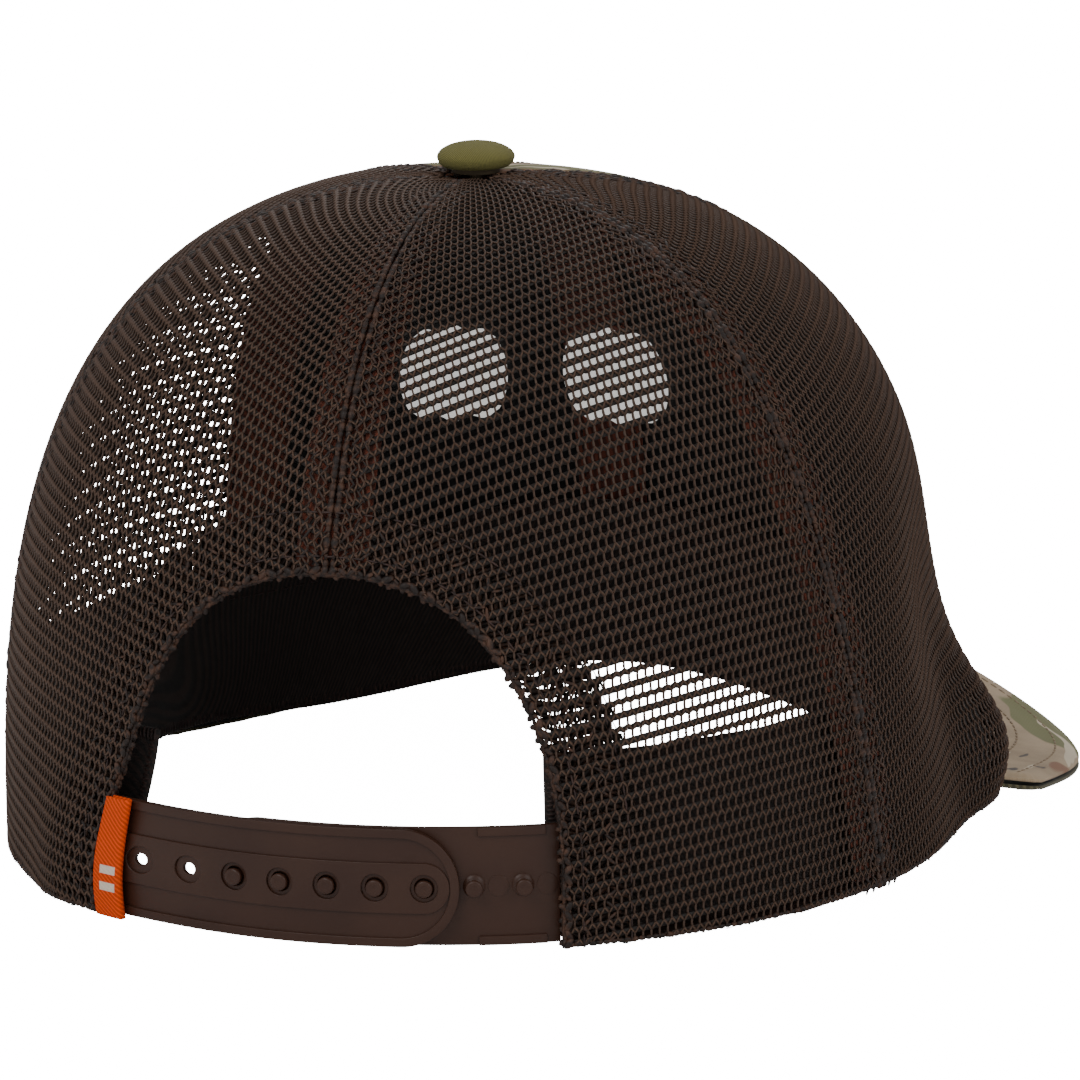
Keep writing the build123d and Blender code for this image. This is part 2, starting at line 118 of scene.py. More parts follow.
@dataclass(frozen=True)
class CrownForm:
    """Outside shape of the crown and where its seams and its rear arch run."""

    half_width: float = 91.0
    back_length: float = 97.0
    front_length: float = 91.0
    back_square: float = 2.02
    front_square: float = 2.2
    height: float = 125.0
    dome_square: float = 2.66
    lean: float = 3.0
    flare: float = 8.0
    flare_at: float = 52.0
    flare_spread: float = 15.0
    flare_height: float = 24.0
    hem_rise: float = 10.5
    hem_rise_at: float = 50.0
    arch_half_width: float = 42.4
    arch_foot: float = 10.0
    arch_top: float = 68.0
    arch_square: float = 2.3
    rear_seam: Seam = Seam(161.0, 155.0, 5.0)
    front_seam: Seam = Seam(222.0, 214.0, -2.0)
    back_seam: Seam = Seam(90.0, 90.0)
    middle_seam: Seam = Seam(270.0, 270.0)
    rest: RestPose = RestPose()

    def outline(self, angle: Array) -> Array:
        """Polar radius of the hem outline without the temple flare.

        Args:
            angle: polar angles.

        Returns:
            The radii.
        """
        c, s = np.abs(np.cos(angle)), np.sin(angle)
        power = np.where(s > 0, self.back_square, self.front_square)
        length = np.where(s > 0, self.back_length, self.front_length)
        return ((c / self.half_width) ** power + (np.abs(s) / length) ** power) ** (-1 / power)

    def from_front(self, angle: Array) -> Array:
        """Degrees away from the front centre line."""
        turn = (np.degrees(angle) - 270.0) % 360.0
        return np.minimum(turn, 360.0 - turn)

    def skin(self, angle: Array, rise: Array) -> Array:
        """Outside face of the crown.

        Args:
            angle: polar angles.
            rise: 0 at the hem to pi/2 at the top.

        Returns:
            The points.
        """
        angle, rise = np.broadcast_arrays(np.asarray(angle, float), np.asarray(rise, float))
        c, s = np.maximum(np.cos(rise), 0.0), np.sin(rise)
        k = (c**self.dome_square + np.abs(s) ** self.dome_square) ** (1 / self.dome_square)
        z = self.height * s / k
        radius = self.outline(angle) * c / k
        off = (self.from_front(angle) - self.flare_at) / self.flare_spread
        radius = radius + self.flare * np.exp(-off * off - (z / self.flare_height) ** 2)
        y = radius * np.sin(angle) + self.lean * (z / self.height) ** 2
        return np.stack([radius * np.cos(angle), y, z], -1)

    def normal(self, angle: Array, rise: Array) -> Array:
        """Outward unit normal of the crown's outside face.

        Args:
            angle: polar angles.
            rise: rises.

        Returns:
            The normals.
        """
        step = 1e-4
        along = self.skin(angle + step, rise) - self.skin(angle - step, rise)
        up = self.skin(angle, rise + step) - self.skin(angle, rise - step)
        out = np.cross(along, up)
        return out / np.maximum(np.linalg.norm(out, axis=-1, keepdims=True), 1e-12)

    def point(self, angle: Array, rise: Array, depth: Array = 0.0) -> Array:
        """Point at a depth inside the outside face."""
        depth = np.asarray(depth, float)
        return self.skin(angle, rise) - self.normal(angle, rise) * depth[..., None]

    def rise_at(self, z: Array) -> Array:
        """Rise at which the dome reaches a height."""
        part = np.clip(np.asarray(z, float) / self.height, 0.0, 0.9999)
        return np.arctan(part * (1 - part**self.dome_square) ** (-1 / self.dome_square))

    def top_rise(self, radius: float = 5.0) -> float:
        """Rise at which the dome has narrowed to a radius."""
        return math.pi / 2 - math.atan(radius / self.half_width)

    def hem(self, angle: Array) -> Array:
        """Height of the lower edge: level, and climbing over the visor."""
        turn = np.minimum(self.from_front(angle) / self.hem_rise_at, 1.0)
        return self.hem_rise * np.cos(turn * np.pi / 2) ** 2

    def hem_angle(self, arc: float) -> float:
        """Polar angle reached along the hem from the centre back, + to the wearer's right."""
        steps = math.pi / 2 + math.copysign(1, arc) * np.linspace(0, math.radians(60), 400)
        return float(np.interp(abs(arc), walk(self.skin(steps, 0.0)), steps))

    def arch_room(self, points: Array) -> Array:
        """About how far points of the skin lie outside the arch's opening.

        Args:
            points: points of the skin.

        Returns:
            The distances, below 0 in the opening.
        """
        x, z = np.abs(points[..., 0]), np.maximum(points[..., 2] - self.arch_foot, 0.0)
        wide, tall, power = self.arch_half_width, self.arch_top - self.arch_foot, self.arch_square
        part = ((x / wide) ** power + (z / tall) ** power) ** (1 / power)
        return (part - 1.0) * np.where(z > 0, np.hypot(x, z) / np.maximum(part, 1e-6), wide)

    def arch_line(self, count: int, grow: float, depth: float) -> tuple[Array, Array]:
        """Line round the arch from the right foot over the top to the left foot.

        Args:
            count: number of points.
            grow: how far outside the opening's edge it runs.
            depth: depth under the outside face.

        Returns:
            The points and the outward normals there.
        """
        below = 0.17  # how far each end runs on under its foot
        turn = np.linspace(-below, math.pi + below, count)
        c, s = np.cos(turn), np.sin(turn)
        k = (np.abs(c) ** self.arch_square + np.abs(s) ** self.arch_square) ** (-1 / self.arch_square)
        x = -(self.arch_half_width + grow) * c * k
        z = self.arch_foot + (self.arch_top - self.arch_foot + grow) * s * k
        low = s < 0
        x = np.where(low, -np.sign(c) * (self.arch_half_width + grow), x)
        rise = self.rise_at(z)
        angle = np.full(count, math.pi / 2)
        for _ in range(40):  # settles on the polar angle at which the skin has that x
            radius = np.linalg.norm(self.skin(angle, rise)[:, :1], axis=1) / np.maximum(
                np.abs(np.cos(angle)), 1e-6)
            radius = np.where(np.abs(np.cos(angle)) < 1e-4, self.skin(angle, rise)[:, 1], radius)
            angle = 0.5 * angle + 0.5 * np.arccos(np.clip(x / radius, -1, 1))
        return self.point(angle, rise, np.full(count, depth)), self.normal(angle, rise)


@dataclass(frozen=True)
class Push:
    """A soft push on the cloth, as handling leaves it."""

    at: tuple[float, float, float]
    by: tuple[float, float, float]
    reach: float


CROWN = CrownForm()
SLACK = (
    Push((46.0, 78.0, 6.0), (8.2, -3.0, 0.0), 18.5),
    Push((-92.0, -20.0, 42.0), (6.0, 1.5, 0.0), 27.0),
    Push((-84.0, -37.0, 12.0), (-7.0, -2.0, 0.0), 15.0),
    Push((0.0, 5.0, 125.0), (0.0, 0.0, 1.2), 40.0),
)


def settle(points: Array, slack: bool = True) -> Array:
    """Points as they stand in the shared frame, with the cloth's slack if asked.

    Args:
        points: points in millimetres of the cap's frame.
        slack: the cloth's slack moves them.

    Returns:
        The points in metres.
    """
    points = np.asarray(points, float)
    if not slack:
        return CROWN.rest.place(points)
    moved = points.copy()
    for push in SLACK:
        off = ((points - push.at) ** 2).sum(-1, keepdims=True)
        moved += np.exp(-off / push.reach**2) * np.array(push.by)
    return CROWN.rest.place(moved)


# ---- mesh and node helpers
class Uv(Enum):
    """Names of the maps and attributes that the finishes read."""

    CLOTH = "cloth"
    YARN = "yarn"
    ROOM = "room"


def stand(name: str, data: Any) -> bpy.types.Object:
    """Puts an object in the scene.

    Args:
        name: its name.
        data: its mesh, curve, camera or lamp.

    Returns:
        The object.
    """
    made = bpy.data.objects.new(name, data)
    bpy.context.scene.collection.objects.link(made)
    return made


def shade_smooth(mesh: Mesh) -> None:
    """Shades every face smooth."""
    mesh.polygons.foreach_set("use_smooth", np.ones(len(mesh.polygons), bool))


@contextmanager
def reworked(mesh: Mesh) -> Iterator[bmesh.types.BMesh]:
    """Opens a mesh for editing and writes it back.

    Args:
        mesh: the mesh.

    Returns:
        Its editable form, for the length of a with block.
    """
    work = bmesh.new()
    work.from_mesh(mesh)
    yield work
    work.to_mesh(mesh)
    work.free()


def keep_piece(name: str, mesh: Mesh, finish: Material, body: str,
               stands_for: Sequence[str] = ()) -> bpy.types.Object:
    """Puts a finished mesh in the scene as a piece.

    Args:
        name: piece name.
        mesh: its mesh, already in the shared frame.
        finish: its material.
        body: the body it rides on.
        stands_for: CAD nodes it replaces.

    Returns:
        The new object.
    """
    mesh.name = name
    mesh.materials.clear()
    mesh.materials.append(finish)
    mesh.polygons.foreach_set("material_index", np.zeros(len(mesh.polygons), np.int32))
    piece = stand(name, mesh)
    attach(piece, body)
    if stands_for:
        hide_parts(*stands_for)
    log.info("%s: %d faces on %s", name, len(mesh.polygons), body)
    return piece


def mesh_from(name: str, points: Array, faces: Sequence[Sequence[int]], maps: Array | None = None,
              placed: bool = False, slack: bool = True) -> Mesh:
    """Mesh from points and faces.

    Args:
        name: mesh name.
        points: N x 3, in millimetres of the cap's frame, or metres if placed.
        faces: point indices of each face.
        maps: cloth map, N x 2 in metres, or None.
        placed: points are already in the shared frame.
        slack: the cloth's slack moves it.

    Returns:
        The mesh.
    """
    mesh = bpy.data.meshes.new(name)
    spots = points if placed else settle(points, slack)
    mesh.from_pydata([tuple(p) for p in spots], [], [tuple(int(i) for i in f) for f in faces])
    if maps is not None:
        layer = mesh.uv_layers.new(name=Uv.CLOTH.value)
        index = np.zeros(len(mesh.loops), np.int32)
        mesh.loops.foreach_get("vertex_index", index)
        layer.data.foreach_set("uv", np.asarray(maps, np.float32)[index].ravel())
    shade_smooth(mesh)
    mesh.update()
    return mesh


def slab(name: str, near: Array, far: Array, maps: Array, rounded: float = 0.0,
         slack: bool = True) -> Mesh:
    """Closed cloth slab between two grids of points.

    Args:
        name: mesh name.
        near: outside grid, n x m x 3.
        far: inside grid of the same shape.
        maps: cloth map of the grid in metres, n x m x 2.
        rounded: share of the thickness by which the rim's middle bulges out.
        slack: the cloth's slack moves it.

    Returns:
        The mesh, with its faces pointing outwards.
    """
    n, m = near.shape[:2]
    index = np.arange(n * m).reshape(n, m)
    a, b, c, d = index[:-1, :-1], index[1:, :-1], index[1:, 1:], index[:-1, 1:]
    quads = np.stack([a, b, c, d], -1).reshape(-1, 4)
    mid = (n // 2, m // 2)
    along = near[mid[0] + 1, mid[1]] - near[mid]
    up = near[mid[0], mid[1] + 1] - near[mid]
    flip = np.dot(np.cross(along, up), near[mid] - far[mid]) < 0
    if flip:
        quads = quads[:, ::-1]
    rim = np.concatenate([index[:, 0], index[-1, 1:], index[-2::-1, -1], index[0, -2:0:-1]])
    flat_near, flat_far = near.reshape(-1, 3), far.reshape(-1, 3)
    middle = (flat_near[rim] + flat_far[rim]) / 2
    inner = np.roll(middle, 1, 0) - np.roll(middle, -1, 0)
    across = np.cross(inner, flat_near[rim] - flat_far[rim])
    across /= np.maximum(np.linalg.norm(across, axis=1, keepdims=True), 1e-9)
    centre = flat_near.mean(0)
    sign = np.sign(((middle - centre) * across).sum(1).mean()) or 1.0
    thick = np.linalg.norm(flat_near[rim] - flat_far[rim], axis=1, keepdims=True)
    bulge = middle + across * sign * thick * rounded
    points = np.concatenate([flat_near, flat_far, bulge])
    total, count = n * m, len(rim)
    edge = np.arange(count) + 2 * total
    turned = np.roll(np.arange(count), -1)
    upper = np.stack([rim[turned], rim, edge, edge[turned]], -1)
    lower = np.stack([edge[turned], edge, rim + total, rim[turned] + total], -1)
    if flip:
        upper, lower = upper[:, ::-1], lower[:, ::-1]
    faces = np.concatenate([quads, quads[:, ::-1] + total, upper, lower])
    flat_maps = maps.reshape(-1, 2)
    flat_maps = np.concatenate([flat_maps, flat_maps, flat_maps[rim]])
    return mesh_from(name, points, faces.tolist(), flat_maps, slack=slack)


class Board:
    """Adds and joins the nodes of one tree."""

    def __init__(self, tree: Tree) -> None:
        """Keeps the tree."""
        self.tree = tree

    def add(self, kind: str, inputs: dict[Any, Any] | None = None, **settings: Any) -> bpy.types.Node:
        """Adds a node.

        Args:
            kind: node type.
            inputs: socket name or index to a value, or to a socket that feeds it.
            settings: properties of the node.

        Returns:
            The node.
        """
        node = self.tree.nodes.new(kind)
        for key, value in settings.items():
            setattr(node, key, value)
        for key, value in (inputs or {}).items():
            self.feed(node.inputs[key], value)
        return node

    def feed(self, socket: Socket, value: Any) -> None:
        """Links a socket to another, or sets its value.

        Args:
            socket: the socket to fill.
            value: another socket, or a plain value.
        """
        if isinstance(value, Socket):
            self.tree.links.new(value, socket)
        else:
            socket.default_value = value

    def math(self, operation: str, *values: Any, clamp: bool = False) -> Socket:
        """Result of a Math node."""
        node = self.add("ShaderNodeMath", dict(enumerate(values)), operation=operation, use_clamp=clamp)
        return node.outputs[0]

    def vector(self, operation: str, *values: Any) -> Socket:
        """Adds a Vector Math node.

        Args:
            operation: what it does.
            values: its values; a scale goes in last.

        Returns:
            Its result.
        """
        node = self.add("ShaderNodeVectorMath", operation=operation)
        for i, value in enumerate(values):
            self.feed(node.inputs["Scale" if operation == "SCALE" and i == 1 else i], value)
        return node.outputs["Value" if operation in ("LENGTH", "DOT_PRODUCT", "DISTANCE") else "Vector"]

    def mix(self, factor: Any, first: Any, second: Any, blend: str = "MIX") -> Socket:
        """Adds a colour Mix node.

        Args:
            factor: share of the second colour.
            first: first colour.
            second: second colour.
            blend: blend type.

        Returns:
            Its result.
        """
        node = self.add("ShaderNodeMix", data_type="RGBA", blend_type=blend)
        for name, kind, value in (("Factor", "VALUE", factor), ("A", "RGBA", first),
                                  ("B", "RGBA", second)):
            self.feed(next(s for s in node.inputs if s.name == name and s.type == kind), value)
        return next(s for s in node.outputs if s.type == "RGBA")

    def ramp(self, value: Any, low: float, high: float, out_low: float = 0.0,
             out_high: float = 1.0) -> Socket:
        """Value mapped from one range to another, eased in and out."""
        ranges = {0: value, 1: low, 2: high, 3: out_low, 4: out_high}
        return self.add("ShaderNodeMapRange", ranges, interpolation_type="SMOOTHSTEP").outputs[0]

    def noise(self, vector: Any, scale: float, detail: float = 3.0, rough: float = 0.55) -> Socket:
        """Value of a noise texture."""
        values = {"Vector": vector, "Scale": scale, "Detail": detail, "Roughness": rough}
        return self.add("ShaderNodeTexNoise", values).outputs[0]


def socket(tree: Tree, name: str, kind: str, out: bool = False, value: Any = None) -> None:
    """Adds a socket to a node group's interface.

    Args:
        tree: the group.
        name: socket name.
        kind: socket type.
        out: makes it an output.
        value: what it starts at.
    """
    item = tree.interface.new_socket(name=name, in_out="OUTPUT" if out else "INPUT", socket_type=kind)
    if value is not None:
        item.default_value = value


def rgb(r: int, g: int, b: int) -> tuple[float, float, float, float]:
    """Linear colour from display values.

    Args:
        r: red, 0 to 255.
        g: green.
        b: blue.

    Returns:
        The colour with full alpha.
    """
    def line(v: float) -> float:
        """One channel made linear."""
        v /= 255
        return v / 12.92 if v <= 0.04045 else ((v + 0.055) / 1.055) ** 2.4
    return (line(r), line(g), line(b), 1.0)


# ---- shared surface effects
def open_effect(name: str, values: dict[str, float],
                results: dict[str, str]) -> tuple[Tree, Board, Any, Any]:
    """Starts a shader group that takes a Vector and some values.

    Args:
        name: group name.
        values: its named values and what they start at.
        results: its outputs and their kinds.

    Returns:
        The tree, its board, the sockets that it is given and those that it fills.
    """
    tree = bpy.data.node_groups.new(name, "ShaderNodeTree")
    socket(tree, "Vector", "NodeSocketVector")
    for key, value in values.items():
        socket(tree, key, "NodeSocketFloat", value=value)
    for key, kind in results.items():
        socket(tree, key, "NodeSocket" + kind, out=True)
    b = Board(tree)
    return tree, b, b.add("NodeGroupInput").outputs, b.add("NodeGroupOutput").inputs


def build_twill() -> Tree:
    """Twill weave: slanting ribs of crossing threads, as a height and a painted light mask that is high on the
    lit ribs and low in the grooves, where it paints shade.

    Returns:
        The group.
    """
    tree, b, given, out = open_effect("twill_weave", {"Thread": 0.0004, "Slant": 0.9},
                                      {"Height": "Float", "Warp": "Float"})
    wobble = b.noise(given["Vector"], 900.0, 2.0)
    split = b.add("ShaderNodeSeparateXYZ", {0: given["Vector"]})
    u = b.math("DIVIDE", split.outputs[0], given["Thread"])
    v = b.math("DIVIDE", split.outputs[1], given["Thread"])
    u = b.math("ADD", u, b.math("MULTIPLY", wobble, 0.5))
    slanted = b.math("ADD", u, b.math("MULTIPLY", v, given["Slant"]))
    rib = b.math("SINE", b.math("MULTIPLY", slanted, 2.1))
    fine = b.math("ABSOLUTE", b.math("SINE", b.math("MULTIPLY", b.math("SUBTRACT", v, u), 3.14159)))
    height = b.math("ADD", b.math("MULTIPLY", rib, 0.35), b.math("MULTIPLY", fine, 0.5))
    b.feed(out["Height"], height)
    # painted light: the mask lights the ribs and paints shade in the grooves between them
    b.feed(out["Warp"], b.ramp(rib, -0.6, 0.8))
    return tree


def build_fuzz() -> Tree:
    """Uneven dyeing and stray fibres: a soft value near 1 and a fine lint mask.

    Returns:
        The group.
    """
    tree, b, given, out = open_effect("cloth_fuzz", {"Amount": 0.25}, {"Shade": "Float", "Lint": "Float"})
    broad = b.noise(given["Vector"], 60.0, 4.0)
    fine = b.noise(given["Vector"], 2600.0, 2.0)
    both = b.math("ADD", b.math("MULTIPLY", broad, 0.6), b.math("MULTIPLY", fine, 0.4))
    swing = b.math("MULTIPLY", b.math("SUBTRACT", both, 0.5), given["Amount"])
    b.feed(out["Shade"], b.math("ADD", b.math("MULTIPLY", swing, 2.0), 1.0))
    speck = b.noise(given["Vector"], 1100.0, 1.0)
    b.feed(out["Lint"], b.ramp(speck, 0.70, 0.78))
    return tree


def build_wear() -> Tree:
    """Fine scratches and handling marks of a moulded or painted surface.

    Returns:
        The group.
    """
    tree, b, given, out = open_effect("handling_marks", {"Amount": 0.3}, {"Mask": "Float", "Grain": "Float"})
    drawn = b.vector("MULTIPLY", given["Vector"], (0.35, 0.35, 3.0))
    lines = b.noise(drawn, 700.0, 3.0, 0.7)
    scratch = b.ramp(lines, 0.63, 0.72)
    patch = b.ramp(b.noise(given["Vector"], 90.0, 3.0), 0.42, 0.65)
    marks = b.math("MULTIPLY", b.math("MULTIPLY", scratch, patch), given["Amount"])
    b.feed(out["Mask"], marks)
    b.feed(out["Grain"], b.noise(given["Vector"], 3500.0, 2.0))
    return tree


def build_camo() -> Tree:
    """Own woodland print of long soft leaves and twigs in tan, olive and brown.

    Returns:
        The group.
    """
    tree, b, given, out = open_effect("leaf_print", {}, {"Color": "Color"})
    base = given["Vector"]
    warp = b.add("ShaderNodeTexNoise", {"Vector": base, "Scale": 20.0, "Detail": 3.0}).outputs["Color"]
    bent = b.vector("ADD", base, b.vector("SCALE", b.vector("SUBTRACT", warp, (0.5, 0.5, 0.5)), 0.022))
    long = b.vector("MULTIPLY", bent, (0.55, 1.35, 1.0))
    tan = b.mix(b.ramp(b.noise(base, 45.0, 4.0), 0.35, 0.7), rgb(178, 155, 126), rgb(146, 124, 98))
    olive = b.ramp(b.noise(long, 34.0, 1.5, 0.4), 0.53, 0.548)
    moved = b.vector("ADD", long, (3.1, 1.7, 0.0))
    brown = b.ramp(b.noise(moved, 38.0, 2.5, 0.5), 0.54, 0.556)
    moved = b.vector("ADD", b.vector("MULTIPLY", bent, (0.4, 2.2, 1.0)), (7.3, 4.9, 0.0))
    dark = b.ramp(b.noise(moved, 46.0, 3.0, 0.55), 0.59, 0.605)
    moved = b.vector("ADD", b.vector("MULTIPLY", bent, (0.3, 3.0, 1.0)), (1.3, 9.2, 0.0))
    pale = b.ramp(b.noise(moved, 52.0, 2.0, 0.5), 0.64, 0.655)
    colour = b.mix(olive, tan, rgb(106, 106, 56))
    colour = b.mix(brown, colour, rgb(128, 84, 56))
    colour = b.mix(dark, colour, rgb(66, 55, 48))
    colour = b.mix(pale, colour, rgb(205, 190, 165))
    b.feed(out["Color"], colour)
    return tree


class Effects:
    """The shared shader groups, each built once."""

    def __init__(self) -> None:
        """Builds them."""
        self.twill = build_twill()
        self.fuzz = build_fuzz()
        self.wear = build_wear()
        self.camo = build_camo()


class Surface:
    """A material under construction: its board, its shader and its coordinates."""

    def __init__(self, name: str) -> None:
        """Starts a node material with a plain Principled shader.

        Args:
            name: material name.
        """
        self.material = bpy.data.materials.new(name)
        self.material.use_nodes = True
        tree = self.material.node_tree
        tree.nodes.clear()
        self.board = Board(tree)
        self.shader = self.board.add("ShaderNodeBsdfPrincipled")
        self.board.add("ShaderNodeOutputMaterial", {"Surface": self.shader.outputs[0]})

    def place(self) -> Socket:
        """Object coordinates."""
        return self.board.add("ShaderNodeTexCoord").outputs["Object"]

    def cloth(self) -> Socket:
        """The piece's own cloth map in metres."""
        return self.board.add("ShaderNodeUVMap", uv_map=Uv.CLOTH.value).outputs[0]

    def attribute(self, which: Uv) -> Socket:
        """A value stored on the piece."""
        return self.board.add("ShaderNodeAttribute", attribute_name=which.value).outputs["Fac"]

    def group(self, tree: Tree, **inputs: Any) -> bpy.types.Node:
        """Places a shared effect with its own values.

        Args:
            tree: the effect.
            inputs: its values by name.

        Returns:
            The placed group.
        """
        node = self.board.add("ShaderNodeGroup", node_tree=tree)
        for name, value in inputs.items():
            self.board.feed(node.inputs[name], value)
        return node

    def uneven(self, colour: Any, fuzz: bpy.types.Node) -> Socket:
        """Colour as unevenly dyed cloth shows it.

        Args:
            colour: the even colour.
            fuzz: the placed fuzz effect.

        Returns:
            The uneven colour.
        """
        shade = self.board.add("ShaderNodeCombineXYZ", {i: fuzz.outputs["Shade"] for i in range(3)})
        return self.board.mix(1.0, colour, shade.outputs[0], "MULTIPLY")

    def set(self, **values: Any) -> None:
        """Sets or feeds the shader's sockets; an underscore stands for a space."""
        for name, value in values.items():
            self.board.feed(self.shader.inputs[name.replace("_", " ")], value)

    def bump(self, height: Any, strength: float, distance: float) -> None:
        """Feeds the shader's normal from a height; the distance is in metres."""
        values = {"Height": height, "Strength": strength, "Distance": distance}
        self.set(Normal=self.board.add("ShaderNodeBump", values).outputs[0])


# ---- finishes
@dataclass(frozen=True)
class TwillFinish:
    """Dyed twill, with painted shade in the grooves of its weave."""

    name: str
    colour: Colour
    # colour painted into the grooves of the weave as shade
    dark: Colour
    thread: float = 0.00042
    slant: float = 0.9
    roughness: float = 0.85
    sheen: float = 0.15
    relief: float = 0.00012
    # strength of a painted glow in the cloth's own colour, as if lit from within; 0 for none
    glow: float = 0.0

    def make(self, fx: Effects) -> Material:
        """Builds the material.

        Args:
            fx: the shared effects.

        Returns:
            The material.
        """
        s = Surface(self.name)
        # painted light: the cloth glows in its own colour though it is no lamp
        if self.glow:
            s.set(Emission_Color=rgb(*self.colour), Emission_Strength=self.glow)
        map_ = s.cloth()
        weave = s.group(fx.twill, Vector=map_, Thread=self.thread, Slant=self.slant)
        fuzz = s.group(fx.fuzz, Vector=map_, Amount=0.3)
        # painted shade: the dark colour fills the grooves of the weave and the main colour its lit ribs
        colour = s.board.mix(weave.outputs["Warp"], rgb(*self.dark), rgb(*self.colour))
        colour = s.uneven(colour, fuzz)
        s.set(Base_Color=colour, Roughness=self.roughness, Sheen_Weight=self.sheen)
        s.bump(weave.outputs["Height"], 0.7, self.relief)
        return s.material


@dataclass(frozen=True)
class PrintedTwill:
    """Printed cotton twill, with a painted highlight on the ribs of its weave."""

    name: str = "printed_twill"
    thread: float = 0.00045
    # pale colour painted on the ribs of the weave as a highlight
    rib_highlight: Colour = (196, 180, 155)

    def make(self, fx: Effects) -> Material:
        """Builds the material.

        Args:
            fx: the shared effects.

        Returns:
            The material.
        """
        s = Surface(self.name)
        map_ = s.cloth()
        print_ = s.group(fx.camo, Vector=map_)
        weave = s.group(fx.twill, Vector=map_, Thread=self.thread)
        fuzz = s.group(fx.fuzz, Vector=map_, Amount=0.22)
        shaded = s.uneven(print_.outputs["Color"], fuzz)
        # painted highlight: a tenth of the way to a pale colour on the lit ribs of the weave
        highlit_print = s.board.mix(s.board.math("MULTIPLY", weave.outputs["Warp"], 0.10), shaded, rgb(*self.rib_highlight))
        s.set(Base_Color=highlit_print, Roughness=0.88, Sheen_Weight=0.12)
        s.bump(weave.outputs["Height"], 0.6, 0.00012)
        return s.material


@dataclass(frozen=True)
class YarnFinish:
    """Polyester yarn of a warp knit: dark ribbons, paler lengthwise threads."""

    name: str
    ribbon: Colour
    thread: Colour
    roughness: float = 0.55
    mapped: bool = True

    def make(self, fx: Effects) -> Material:
        """Builds the material.

        Args:
            fx: the shared effects.

        Returns:
            The material.
        """
        s = Surface(self.name)
        map_ = s.cloth() if self.mapped else s.place()
        fuzz = s.group(fx.fuzz, Vector=map_, Amount=0.35)
        if self.mapped:
            kind = s.attribute(Uv.YARN)
        else:
            kind = s.board.ramp(s.board.noise(map_, 700.0, 2.0), 0.4, 0.7)
        strands = s.board.noise(s.board.vector("MULTIPLY", map_, (0.15, 1.0, 1.0)), 9000.0, 1.0)
        pale = s.board.math("MULTIPLY", kind, s.board.ramp(strands, 0.3, 0.7, 0.7, 1.0))
        colour = s.board.mix(pale, rgb(*self.ribbon), rgb(*self.thread))
        colour = s.uneven(colour, fuzz)
        colour = s.board.mix(s.board.math("MULTIPLY", fuzz.outputs["Lint"], 0.15), colour, rgb(150, 130, 110))
        s.set(Base_Color=colour, Roughness=self.roughness, Specular_IOR_Level=0.35)
        s.bump(strands, 0.5, 0.0001)
        return s.material


@dataclass(frozen=True)
class MouldedFinish:
    """Moulded plastic or painted metal."""

    name: str
    colour: Colour
    scuff: Colour
    roughness: float = 0.42
    metallic: float = 0.0
    wear: float = 0.5
    relief: float = 0.00002

    def make(self, fx: Effects) -> Material:
        """Builds the material.

        Args:
            fx: the shared effects.

        Returns:
            The material.
        """
        s = Surface(self.name)
        here = s.place()
        marks = s.group(fx.wear, Vector=here, Amount=self.wear)
        tint = s.board.ramp(s.board.noise(here, 55.0, 2.0), 0.3, 0.7, 0.0, 0.25)
        colour = s.board.mix(tint, rgb(*self.colour), rgb(*self.scuff))
        colour = s.board.mix(s.board.math("MULTIPLY", marks.outputs["Mask"], 0.5), colour, rgb(*self.scuff))
        rough = s.board.math("ADD", s.board.math("MULTIPLY", marks.outputs["Mask"], 0.25), self.roughness)
        s.set(Base_Color=colour, Roughness=rough, Metallic=self.metallic, Specular_IOR_Level=0.35)
        s.bump(marks.outputs["Grain"], 0.35, self.relief)
        return s.material


@dataclass(frozen=True)
class TagFinish:
    """Orange twill with two woven stripes and painted shade in the grooves of its weave."""

    name: str = "tag_twill"
    colour: Colour = (240, 78, 0)
    # colour painted into the grooves of the weave as shade
    dark: Colour = (190, 60, 2)
    stripe: Colour = (226, 218, 200)
    stripes: tuple[float, float] = (0.0056, 0.0088)
    stripe_half: float = 0.0008

    def make(self, fx: Effects) -> Material:
        """Builds the material.

        Args:
            fx: the shared effects.

        Returns:
            The material.
        """
        s = Surface(self.name)
        map_ = s.cloth()
        weave = s.group(fx.twill, Vector=map_, Thread=0.0003, Slant=1.0)
        fuzz = s.group(fx.fuzz, Vector=map_, Amount=0.2)
        split = s.board.add("ShaderNodeSeparateXYZ", {0: map_})
        mask: Any = 0.0
        for centre in self.stripes:
            off = s.board.math("ABSOLUTE", s.board.math("SUBTRACT", split.outputs[1], centre))
            on = s.board.ramp(off, self.stripe_half - 0.00006, self.stripe_half + 0.00006, 1.0, 0.0)
            mask = s.board.math("MAXIMUM", mask, on)
        across = s.board.ramp(split.outputs[0], 0.0012, 0.0013)
        ends = s.board.ramp(split.outputs[0], 0.0041, 0.0042, 1.0, 0.0)
        mask = s.board.math("MULTIPLY", mask, s.board.math("MULTIPLY", across, ends))
        # painted shade: the dark colour fills the grooves of the weave and the main colour its lit ribs
        colour = s.board.mix(weave.outputs["Warp"], rgb(*self.dark), rgb(*self.colour))
        colour = s.board.mix(s.board.math("MULTIPLY", mask, 0.9), colour, rgb(*self.stripe))
        colour = s.uneven(colour, fuzz)
        s.set(Base_Color=colour, Roughness=0.85, Specular_IOR_Level=0.3)
        s.bump(weave.outputs["Height"], 0.7, 0.0001)
        return s.material


